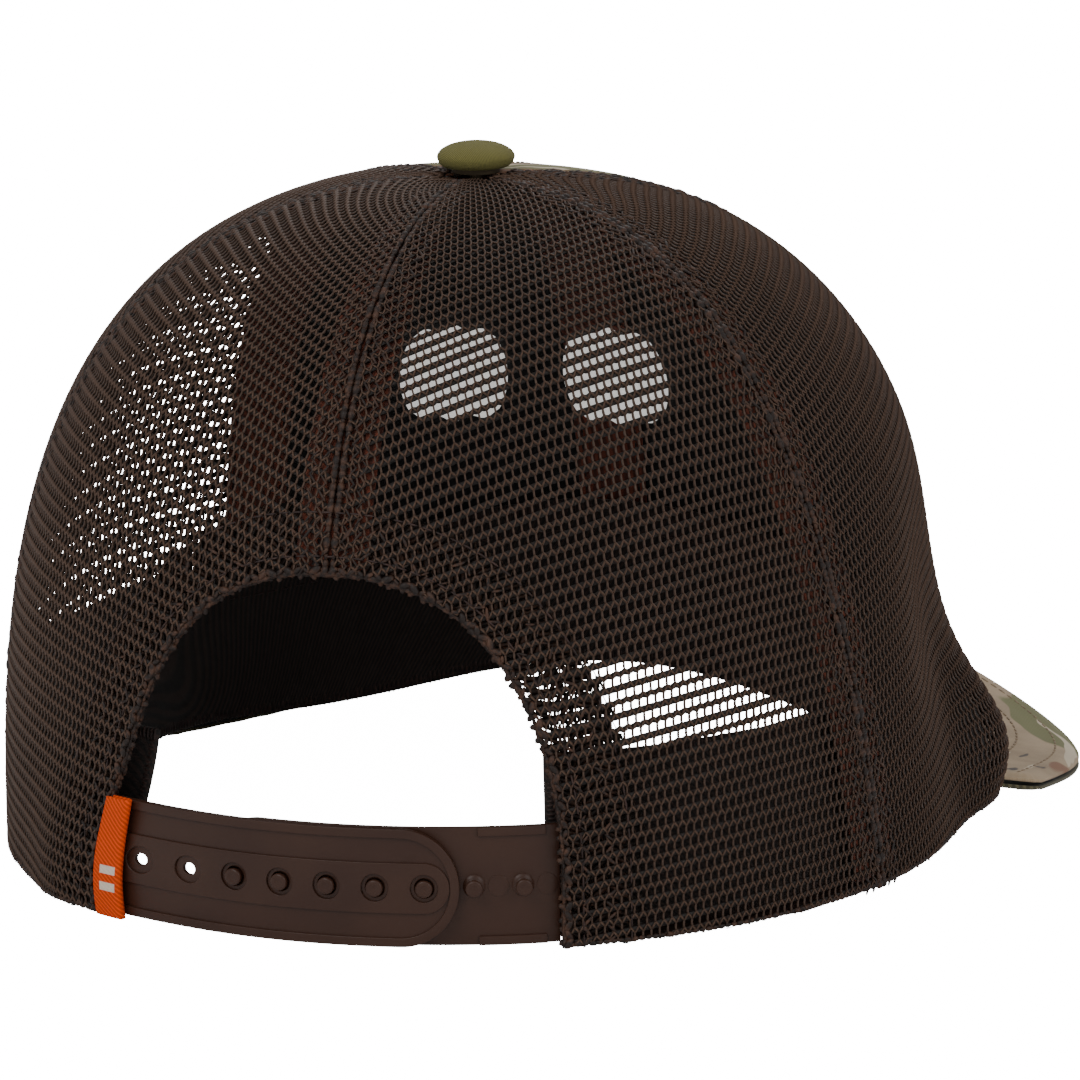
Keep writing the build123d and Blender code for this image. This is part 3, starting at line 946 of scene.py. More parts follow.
@dataclass(frozen=True)
class Finishes:
    """Every finish of the cap by its use."""

    mesh_knit: Material
    printed_twill: Material
    stiffener: Material
    seam_tape: Material
    sweatband_twill: Material
    overlock: Material
    fold_knit: Material
    padding: Material
    strap_plastic: Material
    tag_twill: Material
    button_cloth: Material
    button_metal: Material
    visor_plastic: Material
    under_twill: Material
    top_thread: Material
    backing: Material

    @classmethod
    def build(cls) -> "Finishes":
        """Builds all the materials.

        Returns:
            The finishes.
        """
        fx = Effects()
        # in each twill finish the second colour is painted shade for the grooves of its weave
        return cls(
            mesh_knit=YarnFinish("mesh_knit", (27, 20, 16), (92, 69, 55)).make(fx),
            printed_twill=PrintedTwill().make(fx),
            stiffener=TwillFinish("stiffener", (14, 10, 9), (9, 6, 6), thread=0.0004).make(fx),
            seam_tape=TwillFinish("seam_tape", (124, 62, 42), (84, 42, 29), thread=0.00055).make(fx),
            sweatband_twill=TwillFinish("sweatband_twill", (46, 31, 25), (22, 15, 12)).make(fx),
            overlock=YarnFinish("overlock", (40, 26, 23), (66, 46, 40), mapped=False).make(fx),
            fold_knit=YarnFinish("fold_knit", (30, 19, 14), (82, 54, 39), mapped=False).make(fx),
            padding=TwillFinish("padding", (70, 64, 60), (46, 42, 40), thread=0.0012).make(fx),
            strap_plastic=MouldedFinish("strap_plastic", (55, 32, 22), (80, 52, 38)).make(fx),
            tag_twill=TagFinish().make(fx),
            button_cloth=TwillFinish("button_cloth", (134, 128, 66), (96, 92, 46), thread=0.00014,
                                     sheen=0.0).make(fx),
            button_metal=MouldedFinish("button_metal", (92, 82, 66), (60, 52, 42), 0.5, 1.0).make(fx),
            visor_plastic=MouldedFinish("visor_plastic", (40, 40, 42), (70, 70, 72), 0.55).make(fx),
            under_twill=TwillFinish("under_twill", (104, 98, 72), (72, 68, 50)).make(fx),
            top_thread=YarnFinish("top_thread", (128, 108, 82), (160, 140, 110), mapped=False).make(fx),
            # the backing patches glow by themselves: painted light
            backing=TwillFinish("backing", (250, 248, 244), (225, 222, 216), thread=0.0007,
                                glow=0.6).make(fx),
        )


# ---- geometry node tools
@dataclass(frozen=True)
class Stitch:
    """Sizes of one stitch and how unevenly it repeats."""

    length: float
    width: float
    height: float
    uneven: float
    seed: int = 7


class RepeatTool:
    """Geometry Nodes set-ups that lay a small shape again and again."""

    def __init__(self) -> None:
        """Builds the two trees."""
        self.weaver = self._weaver()
        self.sewer = self._sewer()

    @staticmethod
    def _weaver() -> Tree:
        """Tree that knits a flat pattern and lays it on a surface by its cloth map.

        Returns:
            The tree.
        """
        tree = bpy.data.node_groups.new("knit_weaver", "GeometryNodeTree")
        socket(tree, "Surface", "NodeSocketGeometry")
        socket(tree, "Cell", "NodeSocketObject")
        for name, value in (("Pitch", 0.0016), ("Course", 0.0051), ("Span", SPAN), ("Weld", 0.00004)):
            socket(tree, name, "NodeSocketFloat", value=value)
        for name, value in (("Wales", 60), ("Courses", 30)):
            socket(tree, name, "NodeSocketInt", value=value)
        socket(tree, "Corner", "NodeSocketVector")
        socket(tree, "Finish", "NodeSocketMaterial")
        socket(tree, "Knit", "NodeSocketGeometry", out=True)
        b = Board(tree)
        given, out = b.add("NodeGroupInput").outputs, b.add("NodeGroupOutput")
        wide = b.math("MULTIPLY", given["Pitch"], b.math("SUBTRACT", given["Wales"], 1.0))
        tall = b.math("MULTIPLY", given["Course"], b.math("SUBTRACT", given["Courses"], 1.0))
        grid = b.add("GeometryNodeMeshGrid", {"Size X": wide, "Size Y": tall,
                                              "Vertices X": given["Wales"], "Vertices Y": given["Courses"]})
        half = b.add("ShaderNodeCombineXYZ", {0: b.math("MULTIPLY", wide, 0.5),
                                              1: b.math("MULTIPLY", tall, 0.5)})
        placed = b.add("GeometryNodeSetPosition", {
            "Geometry": grid.outputs["Mesh"], "Offset": b.vector("ADD", half.outputs[0], given["Corner"])})
        cell = b.add("GeometryNodeObjectInfo", {"Object": given["Cell"]})
        laid = b.add("GeometryNodeInstanceOnPoints", {"Points": placed.outputs[0],
                                                      "Instance": cell.outputs["Geometry"]})
        real = b.add("GeometryNodeRealizeInstances", {0: laid.outputs[0]})
        welded = b.add("GeometryNodeMergeByDistance", {"Geometry": real.outputs[0], "Distance": given["Weld"]})
        flat = b.add("GeometryNodeInputPosition").outputs[0]
        spread = b.vector("ADD", b.vector("DIVIDE", flat, b.add("ShaderNodeCombineXYZ", {
            0: given["Span"], 1: given["Span"], 2: given["Span"]}).outputs[0]), (0.5, 0.5, 0.0))
        kept = b.add("GeometryNodeStoreNamedAttribute", {
            "Geometry": welded.outputs[0], "Name": Uv.CLOTH.value, "Value": flat},
            data_type="FLOAT2", domain="CORNER")
        held = b.add("GeometryNodeCaptureAttribute")
        held.capture_items.new("VECTOR", "Spread")
        held.capture_items.new("FLOAT", "Lift")
        lift = b.add("ShaderNodeSeparateXYZ", {0: flat}).outputs[2]
        b.feed(held.inputs["Geometry"], kept.outputs[0])
        b.feed(held.inputs["Spread"], spread)
        b.feed(held.inputs["Lift"], lift)
        cloth = b.add("GeometryNodeInputNamedAttribute", {"Name": Uv.CLOTH.value}, data_type="FLOAT_VECTOR")
        taken = []
        for kind, source in (("FLOAT_VECTOR", b.add("GeometryNodeInputPosition").outputs[0]),
                             ("FLOAT_VECTOR", b.add("GeometryNodeInputNormal").outputs[0]),
                             ("FLOAT", b.add("GeometryNodeInputNamedAttribute", {"Name": Uv.ROOM.value},
                                             data_type="FLOAT").outputs[0])):
            node = b.add("GeometryNodeSampleUVSurface", data_type=kind)
            b.feed(node.inputs[0], given["Surface"])
            b.feed(node.inputs[1], source)
            b.feed(node.inputs[2], cloth.outputs[0])
            b.feed(node.inputs[3], held.outputs["Spread"])
            taken.append(node)
        out_way = b.vector("NORMALIZE", taken[1].outputs[0])
        spot = b.vector("ADD", taken[0].outputs[0], b.vector("SCALE", out_way, held.outputs["Lift"]))
        fine = b.add("FunctionNodeBooleanMath", {0: taken[0].outputs[1]}, operation="NOT")
        tight = b.add("FunctionNodeCompare", {0: taken[2].outputs[0], 1: 0.0}, data_type="FLOAT",
                      operation="LESS_THAN")
        bad = b.add("FunctionNodeBooleanMath", {0: fine.outputs[0], 1: tight.outputs[0]}, operation="OR")
        cut = b.add("GeometryNodeStoreNamedAttribute", {
            "Geometry": held.outputs["Geometry"], "Name": "cut_off", "Value": bad.outputs[0]},
            data_type="BOOLEAN", domain="POINT")
        draped = b.add("GeometryNodeSetPosition", {"Geometry": cut.outputs[0], "Position": spot})
        off = b.add("GeometryNodeInputNamedAttribute", {"Name": "cut_off"}, data_type="BOOLEAN")
        trimmed = b.add("GeometryNodeDeleteGeometry", {"Geometry": draped.outputs[0],
                                                       "Selection": off.outputs[0]}, domain="POINT")
        last = b.add("GeometryNodeRealizeInstances", {0: trimmed.outputs[0]})
        done = b.add("GeometryNodeSetMaterial", {"Geometry": last.outputs[0], "Material": given["Finish"]})
        b.feed(out.inputs[0], done.outputs[0])
        return tree

    @staticmethod
    def _sewer() -> Tree:
        """Tree that lays one stitch on every point, turned along it.

        Returns:
            The tree.
        """
        tree = bpy.data.node_groups.new("stitch_sewer", "GeometryNodeTree")
        socket(tree, "Points", "NodeSocketGeometry")
        for name, value in (("Length", 0.0024), ("Width", 0.0005), ("Height", 0.0005), ("Uneven", 0.1)):
            socket(tree, name, "NodeSocketFloat", value=value)
        socket(tree, "Seed", "NodeSocketInt", value=7)
        socket(tree, "Finish", "NodeSocketMaterial")
        socket(tree, "Stitches", "NodeSocketGeometry", out=True)
        b = Board(tree)
        given, out = b.add("NodeGroupInput").outputs, b.add("NodeGroupOutput")
        bead = b.add("GeometryNodeMeshUVSphere", {"Segments": 6, "Rings": 4, "Radius": 0.5})
        size = b.add("ShaderNodeCombineXYZ", {0: given["Width"], 1: given["Height"], 2: given["Length"]})
        shaped = b.add("GeometryNodeTransform", {"Geometry": bead.outputs[0], "Scale": size.outputs[0]})
        along = b.add("GeometryNodeInputNamedAttribute", {"Name": "along"}, data_type="FLOAT_VECTOR")
        lift = b.add("GeometryNodeInputNamedAttribute", {"Name": "lift"}, data_type="FLOAT_VECTOR")
        turn = b.add("FunctionNodeAxesToRotation", {0: along.outputs[0], 1: lift.outputs[0]},
                     primary_axis="Z", secondary_axis="Y")
        spread = b.add("FunctionNodeRandomValue", data_type="FLOAT")
        floats = [s for s in spread.inputs if s.type == "VALUE"]
        b.feed(floats[0], b.math("SUBTRACT", 1.0, given["Uneven"]))
        b.feed(floats[1], b.math("ADD", 1.0, given["Uneven"]))
        b.feed(spread.inputs["Seed"], given["Seed"])
        drawn = [s for s in spread.outputs if s.type == "VALUE"][0]
        laid = b.add("GeometryNodeInstanceOnPoints", {
            "Points": given["Points"], "Instance": shaped.outputs[0], "Rotation": turn.outputs[0],
            "Scale": drawn})
        real = b.add("GeometryNodeRealizeInstances", {0: laid.outputs[0]})
        smooth = b.add("GeometryNodeSetShadeSmooth", {0: real.outputs[0]})
        done = b.add("GeometryNodeSetMaterial", {"Geometry": smooth.outputs[0], "Material": given["Finish"]})
        b.feed(out.inputs[0], done.outputs[0])
        return tree

    @staticmethod
    def run(tree: Tree, mesh: Mesh, **values: Any) -> Mesh:
        """Runs a tree on a mesh.

        Args:
            tree: the tree.
            mesh: its input mesh, used up here.
            values: its named inputs.

        Returns:
            The plain mesh that comes out.
        """
        carrier = stand("carrier", mesh)
        mod = carrier.modifiers.new("repeat", "NODES")
        mod.node_group = tree
        for item in tree.interface.items_tree:
            if item.item_type == "SOCKET" and item.in_out == "INPUT" and item.name in values:
                mod[item.identifier] = values[item.name]
        carrier.update_tag()
        graph = bpy.context.evaluated_depsgraph_get()
        graph.update()
        made = bpy.data.meshes.new_from_object(carrier.evaluated_get(graph), preserve_all_data_layers=True,
                                               depsgraph=graph)
        carrier.modifiers.remove(mod)
        bpy.data.objects.remove(carrier)
        shade_smooth(made)
        return made

    def sew(self, points: Array, along: Array, lift: Array, finish: Material,
            stitch: Stitch, slack: bool = True) -> Mesh:
        """Row of stitches.

        Args:
            points: stitch middles in millimetres of the cap's frame.
            along: direction of each stitch.
            lift: direction away from the cloth.
            finish: thread material.
            stitch: its sizes.
            slack: the cloth's slack moves them.

        Returns:
            Mesh of all the stitches.
        """
        mesh = bpy.data.meshes.new("stitch_points")
        mesh.from_pydata([tuple(p) for p in settle(points, slack)], [], [])
        for name, values in (("along", along), ("lift", lift)):
            layer = mesh.attributes.new(name, "FLOAT_VECTOR", "POINT")
            turned = CROWN.rest.turn(values)
            turned /= np.maximum(np.linalg.norm(turned, axis=1, keepdims=True), 1e-9)
            layer.data.foreach_set("vector", turned.astype(np.float32).ravel())
        return self.run(self.sewer, mesh, Finish=finish, Length=stitch.length * MM, Width=stitch.width * MM,
                        Height=stitch.height * MM, Uneven=stitch.uneven, Seed=stitch.seed)


def row_along(line: Array, pitch: float, lift: Array) -> tuple[Array, Array, Array]:
    """Even stops along a line.

    Args:
        line: points of the line.
        pitch: distance from stop to stop.
        lift: outward direction at each point of the line.

    Returns:
        Stops, directions along the line, and outward directions there.
    """
    walked, near = walk(line), 0.3
    count = max(int(walked[-1] / pitch), 2)
    stops = (np.arange(count) + 0.5) * walked[-1] / count
    spots, ahead, behind, outs = (
        np.stack([np.interp(at, walked, values[:, i]) for i in range(3)], -1)
        for at, values in ((stops, line), (stops + near, line), (stops - near, line), (stops, lift)))
    return spots, ahead - behind, outs


def joined(name: str, meshes: Sequence[Mesh]) -> Mesh:
    """One mesh out of several with the same layers.

    Args:
        name: its name.
        meshes: the meshes, used up here.

    Returns:
        The mesh.
    """
    work = bmesh.new()
    for mesh in meshes:
        work.from_mesh(mesh)
    made = bpy.data.meshes.new(name)
    work.to_mesh(made)
    work.free()
    for mesh in meshes:
        bpy.data.meshes.remove(mesh)
    return made


@dataclass
class SewnWork:
    """Sub-assembly of the crown that is sewn with the shared tools."""

    tool: RepeatTool
    finishes: Finishes

    def row(self, line: Array, pitch: float, lift: Array, finish: Material, stitch: Stitch,
            slack: bool = True) -> Mesh:
        """Even stitches along a line."""
        return self.tool.sew(*row_along(line, pitch, lift), finish, stitch, slack)

    def keep_rows(self, name: str, rows: Sequence[Mesh], finish: Material,
                  slot: str) -> None:
        """Keeps rows of stitches as one piece."""
        keep_piece(name, joined(name, rows), finish, "crown")


# ---- the knit panels
class YarnKind(Enum):
    """How pale a yarn of the knit is, from ribbon to lengthwise thread."""

    RIBBON = 0.0
    WAVY_RIBBON = 0.08
    POST = 0.7
    THREAD = 1.0


@dataclass(frozen=True)
class KnitCell:
    """One repeat of the open knit: two rows of holes between laid-in ribbons."""

    pitch: float = 1.62
    course: float = 5.1
    wide_ribbon: float = 1.3
    narrow_ribbon: float = 1.08
    wave: float = 0.16
    ribbon_thick: float = 0.36
    post_width: float = 0.36
    post_thick: float = 0.4
    post_waist: float = 0.8   # share of its width left at its ends
    post_over: float = 0.3    # how far it runs over the ribbons
    post_lift: tuple[float, float, float] = (0.24, 0.08, 0.24)
    thread: float = 0.24
    thread_lift: float = 0.35
    thread_over: float = 0.05

    def mesh(self) -> Mesh:
        """Draws the cell flat, in metres, with a yarn attribute that holds each yarn's kind.

        Returns:
            The mesh.
        """
        points: list[tuple[float, float, float]] = []
        faces: list[list[int]] = []
        kinds: list[float] = []
        p, c = self.pitch, self.course

        def strand(path: Array, width: Array, thick: float, sides: int, kind: YarnKind,
                   capped: bool) -> None:
            """Adds a tube along a flat path.

            Args:
                path: points of its middle line.
                width: its width at each point.
                thick: its thickness.
                sides: corners of its section.
                kind: kind of yarn.
                capped: closes both ends.
            """
            way = np.gradient(path, axis=0)
            way[:, 2] = 0
            way /= np.linalg.norm(way, axis=1, keepdims=True)
            across = np.stack([-way[:, 1], way[:, 0], np.zeros(len(way))], -1)
            start = len(points)
            turns = (np.arange(sides) + 0.5) / sides * 2 * np.pi
            grow = 1 / np.cos(np.pi / sides)
            for middle, side, wide in zip(path, across, width):
                for t in turns:
                    spot = middle + side * np.cos(t) * grow * wide / 2
                    points.append((spot[0], spot[1], spot[2] + np.sin(t) * grow * thick / 2))
                    kinds.append(kind.value)
            for i in range(len(path) - 1):
                for j in range(sides):
                    a, b = start + i * sides + j, start + i * sides + (j + 1) % sides
                    faces.append([a, b, b + sides, a + sides])
            if capped:
                last = start + (len(path) - 1) * sides
                faces.append([start + j for j in range(sides)][::-1])
                faces.append([last + j for j in range(sides)])

        hole = (c / 2 - (self.wide_ribbon + self.narrow_ribbon) / 2) / 2
        x = np.linspace(-p / 2, p / 2, 2)
        strand(np.stack([x, 0 * x + c / 4, 0 * x], -1), 0 * x + self.wide_ribbon, self.ribbon_thick, 4,
               YarnKind.RIBBON, False)
        x = np.linspace(-p / 2, p / 2, 5)
        wavy = 3 * c / 4 + self.wave * np.cos(2 * np.pi * x / p)
        strand(np.stack([x, wavy, 0 * x], -1), 0 * x + self.narrow_ribbon, self.ribbon_thick, 4,
               YarnKind.WAVY_RIBBON, False)
        taper = np.array([self.post_waist, 1.0, self.post_waist])
        for at, middle in ((0.0, 0.0), (p / 2, c / 2)):
            y = np.array([-hole - self.post_over, -0.1, hole + self.post_over]) + middle
            strand(np.stack([0 * y + at, y, np.array(self.post_lift)], -1), taper * self.post_width,
                   self.post_thick, 4, YarnKind.POST, True)
        reach = hole + self.thread_over
        for low, at in ((0.0, 0.0), (c / 2, p / 2)):
            for side in (-1, 1):
                a = np.array([at, low + reach, self.thread_lift])
                b = np.array([at + side * p / 2, low + c / 2 - reach, self.thread_lift])
                if low > 0 and side > 0:
                    a, b = a - [p, 0, 0], b - [p, 0, 0]
                strand(np.stack([a, b]), np.full(2, self.thread), self.thread, 3, YarnKind.THREAD, True)
        made = mesh_from("knit_cell", np.array(points) * MM, faces, placed=True)
        layer = made.attributes.new(Uv.YARN.value, "FLOAT", "POINT")
        layer.data.foreach_set("value", np.array(kinds, np.float32))
        return made


@dataclass
class KnitPanel:
    """One knitted panel of the crown and how its rows of holes lie."""

    name: str
    left: Seam
    right: Seam
    level_at: Seam            # seam at which the rows run level
    upright_at: float         # polar angle at which the columns run straight up, degrees
    drop_low: float           # how much the rows drop at the hem
    drop_high: float          # and from the height drop_full up
    around_arch: bool
    flat: tuple[float, float]
    drop_full: float = 75.0
    depth: float = 0.42
    columns: int = 96
    rows: int = 110
    top_radius: float = 5.0
    gap: float = 0.2          # left free at each seam
    band: float = 0.0         # width of the band kept round the arch, 0 for the whole panel
    far: float = 50.0         # room where there is nothing to keep clear of
    spare: float = 3.0        # knit laid beyond the cut before it is trimmed
    area: float = 0.0         # square metres, found as the skin is made

    def surface(self) -> tuple[Mesh, Array]:
        """Skin that the knit is laid on.

        Returns:
            The mesh with its cloth map and the room attribute, and the map's corners in metres.
        """
        part = np.linspace(0, 1, self.rows)[None, :]
        top = CROWN.top_rise(self.top_radius)
        seam_point = CROWN.skin(self.left.angle(part), part * top)
        inset = self.gap / np.maximum(np.hypot(seam_point[..., 0], seam_point[..., 1]), 1.0)
        a = self.left.angle(part) + inset
        b = self.right.angle(part) - inset
        angle = a + (b - a) * np.linspace(0, 1, self.columns)[:, None]
        low = CROWN.rise_at(CROWN.hem(angle))
        rise = low + (top - low) * part
        spots = CROWN.point(angle, rise, np.full(angle.shape, self.depth))
        climb = np.linalg.norm(np.diff(spots, axis=1), axis=2).cumsum(1)
        climb = np.concatenate([np.zeros((self.columns, 1)), climb], 1)
        radius = np.hypot(spots[..., 0], spots[..., 1])
        off = angle - self.level_at.angle(part)
        gain = self.drop_low + (self.drop_high - self.drop_low) * np.clip(spots[..., 2] / self.drop_full, 0, 1)
        u = radius * (angle - math.radians(self.upright_at))
        v = climb + gain * off * off / 2
        room = CROWN.arch_room(spots) if self.around_arch else np.full(angle.shape, self.far)
        if self.band:
            room = np.minimum(room, self.band - room)
        maps = np.stack([u, v], -1) * MM
        index = np.arange(angle.size).reshape(angle.shape)
        quads = np.stack([index[:-1, :-1], index[1:, :-1], index[1:, 1:], index[:-1, 1:]], -1).reshape(-1, 4)
        mesh = mesh_from(self.name + "_skin", spots.reshape(-1, 3), quads.tolist(),
                         maps.reshape(-1, 2) / SPAN + 0.5)
        layer = mesh.attributes.new(Uv.ROOM.value, "FLOAT", "POINT")
        layer.data.foreach_set("value", room.astype(np.float32).ravel())
        cell = np.cross(spots[1:, :-1] - spots[:-1, :-1], spots[:-1, 1:] - spots[:-1, :-1])
        self.area = float((np.linalg.norm(cell, axis=-1) * (room[:-1, :-1] > 0)).sum()) * MM * MM
        used = maps[room > -self.spare]
        return mesh, np.array([used[:, 0].min(), used[:, 0].max(), used[:, 1].min(), used[:, 1].max()])

    def knit(self, tool: RepeatTool, cell: KnitCell, cell_piece: bpy.types.Object,
             finish: Material) -> Mesh:
        """Lays the knit on the panel.

        Args:
            tool: the Geometry Nodes tools.
            cell: sizes of one repeat.
            cell_piece: object that carries its mesh.
            finish: yarn material.

        Returns:
            The knitted mesh.
        """
        skin, box = self.surface()
        pitch, course = cell.pitch * MM, cell.course * MM
        low_u, low_v = math.floor(box[0] / pitch) - 1, math.floor(box[2] / course) - 1
        wales = math.ceil((box[1] - box[0]) / pitch) + 4
        courses = math.ceil((box[3] - box[2]) / course) + 4
        return tool.run(tool.weaver, skin, Cell=cell_piece, Pitch=pitch, Course=course, Wales=wales,
                        Courses=courses, Corner=(low_u * pitch, low_v * course, 0.0), Finish=finish)


@dataclass
class MeshPanels(SewnWork):
    """The four knitted panels of the crown; the left ones mirror the right ones."""

    cell: KnitCell = KnitCell()
    back_flat: tuple[float, float] = (0.12, 0.15)
    back_upright: float = 127.0
    back_drop: tuple[float, float] = (19.0, 38.0)
    side_flat: tuple[float, float] = (0.1, 0.15)
    side_upright: float = 190.0
    side_drop: tuple[float, float] = (16.0, 22.0)

    def panels(self) -> list[KnitPanel]:
        """Sets out the four panels.

        Returns:
            The panels in the order in which they are knitted.
        """
        back, rear, front = CROWN.back_seam, CROWN.rear_seam, CROWN.front_seam
        rear_left, front_left = rear.mirrored(), front.mirrored(360.0)
        return [
            KnitPanel("mesh_back_right", back, rear, rear, self.back_upright, *self.back_drop, True,
                      self.back_flat),
            KnitPanel("mesh_back_left", rear_left, back, rear_left, 180.0 - self.back_upright,
                      *self.back_drop, True, self.back_flat),
            KnitPanel("mesh_side_right", rear, front, front, self.side_upright, *self.side_drop, False,
                      self.side_flat),
            KnitPanel("mesh_side_left", front_left, rear.mirrored(360.0), front_left,
                      540.0 - self.side_upright, *self.side_drop, False, self.side_flat),
        ]

    def build(self) -> None:
        """Knits every panel."""
        knit = self.finishes.mesh_knit
        cell_piece = stand("knit_cell", self.cell.mesh())
        for panel in self.panels():
            mesh = panel.knit(self.tool, self.cell, cell_piece, knit)
            close_ends(mesh)
            piece = keep_piece(panel.name + "_knit", mesh, knit, "crown", [panel.name])
        bpy.data.objects.remove(cell_piece)


def close_ends(mesh: Mesh) -> None:
    """Drops frayed corners and loose faces, then caps the cut ends of the strands.

    Args:
        mesh: the knit, changed in place.
    """
    with reworked(mesh) as work:
        for _ in range(6):
            rim = {v for e in work.edges if e.is_boundary or e.is_wire for v in e.verts}
            frayed = [v for v in work.verts if v in rim and sum(
                e.is_boundary or e.is_wire for e in v.link_edges) != 2]
            if not frayed:
                break
            bmesh.ops.delete(work, geom=frayed, context="VERTS")
        loose = [f for f in work.faces if all(e.is_boundary for e in f.edges)]
        bmesh.ops.delete(work, geom=loose, context="FACES")
        rims = [e for e in work.edges if e.is_boundary]
        open_edges = set(rims)
        for edge in rims:
            if edge not in open_edges:
                continue
            open_edges.discard(edge)
            loop = edge.link_loops[0]
            round_, last = [loop.vert], edge.other_vert(loop.vert)
            while last is not round_[0]:
                round_.append(last)
                step = next((e for e in last.link_edges if e in open_edges), None)
                if step is None:
                    break
                open_edges.discard(step)
                last = step.other_vert(last)
            if len(round_) >= 3:
                try:
                    work.faces.new(round_[::-1])
                except ValueError:
                    continue
    shade_smooth(mesh)


def seam_line(seam: Seam, side: float, depth: float, low: float, high_radius: float = 7.0,
              count: int = 160) -> tuple[Array, Array]:
    """Line beside a seam.

    Args:
        seam: the seam.
        side: distance to its left, in millimetres.
        depth: depth under the outside face.
        low: height above the hem where it starts.
        high_radius: radius from the top where it stops.
        count: number of points.

    Returns:
        Points and outward normals.
    """
    share = np.linspace(0.0, 1.0, count)
    base = CROWN.rise_at(CROWN.hem(seam.angle(share)) + low)
    rise = base + (CROWN.top_rise(high_radius) - base) * share
    angle = seam.angle(rise / CROWN.top_rise())
    here = CROWN.skin(angle, rise)
    angle = angle + side / np.hypot(here[:, 0], here[:, 1])
    return CROWN.point(angle, rise, np.full(count, depth)), CROWN.normal(angle, rise)


def zigzag(along: Array, out: Array, swing: float) -> Array:
    """Directions turned to one side and the other by turns.

    Args:
        along: directions along a line.
        out: outward directions.
        swing: how far each is turned.

    Returns:
        The turned directions.
    """
    turn = np.where(np.arange(len(along)) % 2, swing, -swing)[:, None]
    return along + np.cross(out, along) * turn


@dataclass
class SeamFolds(SewnWork):
    """Knobbly folded edges of the knit along the seams, the hem and the arch."""

    knob: Stitch = Stitch(1.9, 1.45, 1.4, 0.35)
    knob_pitch: float = 1.25
    knob_side: float = 0.75
    knob_depth: float = 0.45
    chain: Stitch = Stitch(2.6, 0.5, 0.5, 0.3)
    chain_pitch: float = 1.5
    chain_sides: tuple[float, ...] = (-4.9, -2.7, 2.7, 4.9)
    chain_swing: float = 0.75
    chain_depth: float = 0.1
    chain_radius: float = 14.0
    loop: Stitch = Stitch(2.1, 1.15, 0.9, 0.36, 3)
    thin_loop: Stitch = Stitch(2.1, 0.5175, 0.405, 0.36, 3)
    # rows of loops round the arch: how far out, depth, pitch, swing
    loop_rows: tuple[tuple[float, float, float, float], ...] = (
        (0.1, 0.6, 1.3, 0.0), (0.6, 0.1, 1.7, 0.6), (0.2, 1.4, 1.5, 0.0),
        (0.1, 0.9, 2.1, 2.2), (3.6, 0.0, 1.9, 0.9), (7.4, 0.1, 2.1, 1.1))
    thin_from: float = 3.0
    filling: Stitch = Stitch(4.2, 1.0, 0.5, 0.2, 9)
    filling_rows: tuple[tuple[float, float], ...] = ((2.2, 0.9), (5.6, -0.9), (9.0, 0.9))
    filling_depth: float = 1.4
    filling_ahead: float = 0.6
    hem_knob: Stitch = Stitch(1.6, 1.1, 0.9, 0.15, 5)
    hem_pitch: float = 1.35
    hem_rows: tuple[tuple[float, float], ...] = ((0.7, 0.25), (0.6, 1.0))
    hem_foot: float = 44.6
    count: int = 400

    def seams(self) -> None:
        """Lays knobs and zigzag chains along the five seams of the knit."""
        back, rear, front = CROWN.back_seam, CROWN.rear_seam, CROWN.front_seam
        both, fold, rows = self.chain_sides, self.finishes.fold_knit, []
        for seam, low, chains in ((back, CROWN.arch_top, both), (rear, 0.0, both),
                                  (rear.mirrored(), 0.0, both), (front, 0.0, both[:2]),
                                  (front.mirrored(360.0), 0.0, both[2:])):
            for side in (-self.knob_side, self.knob_side):
                line, out = seam_line(seam, side, self.knob_depth, low)
                rows.append(self.row(line, self.knob_pitch, out, fold, self.knob))
            for side in chains:
                line, out = seam_line(seam, side, self.chain_depth, low, self.chain_radius)
                spots, along, out = row_along(line, self.chain_pitch, out)
                along = zigzag(along, out, self.chain_swing)
                rows.append(self.tool.sew(spots, along, out, fold, self.chain))
        self.keep_rows("seam_folds", rows, fold, "mesh_knit")

    def arch(self) -> None:
        """Lays the loops round the arch's edge and the yarn that fills its fold."""
        fold, rows = self.finishes.fold_knit, []
        for grow, depth, pitch, swing in self.loop_rows:
            line, out = CROWN.arch_line(self.count, grow, depth)
            spots, along, out = row_along(line, pitch, out)
            rows.append(self.tool.sew(spots, zigzag(along, out, swing), out, fold,
                                      self.thin_loop if grow > self.thin_from else self.loop))
        for grow, swing in self.filling_rows:
            line, out = CROWN.arch_line(self.count, grow, self.filling_depth)
            spots, along, out = row_along(line, self.knob_pitch, out)
            along = along * self.filling_ahead + np.cross(out, along) * swing
            rows.append(self.tool.sew(spots, along, out, fold, self.filling))
        self.keep_rows("arch_edge_loops", rows, fold, "mesh_knit")

    def hem(self) -> None:
        """Lays the knobs of the turned hem on both sides of the visor."""
        fold, rows = self.finishes.fold_knit, []
        foot = CROWN.hem_angle(self.hem_foot)
        right, left = CROWN.front_seam, CROWN.front_seam.mirrored(360.0)
        for start, end in ((foot, float(right.angle(0.0))), (float(left.angle(0.0)), 3 * math.pi - foot)):
            angle = np.linspace(start, end, self.count)
            for lift, depth in self.hem_rows:
                rise = CROWN.rise_at(CROWN.hem(angle) + lift)
                line = CROWN.point(angle, rise, np.full(self.count, depth))
                rows.append(self.row(line, self.hem_pitch, CROWN.normal(angle, rise), fold, self.hem_knob))
        self.keep_rows("hem_fold", rows, fold, "mesh_knit")

    def build(self) -> None:
        """Lays all the folds."""
        self.seams()
        self.arch()
        self.hem()


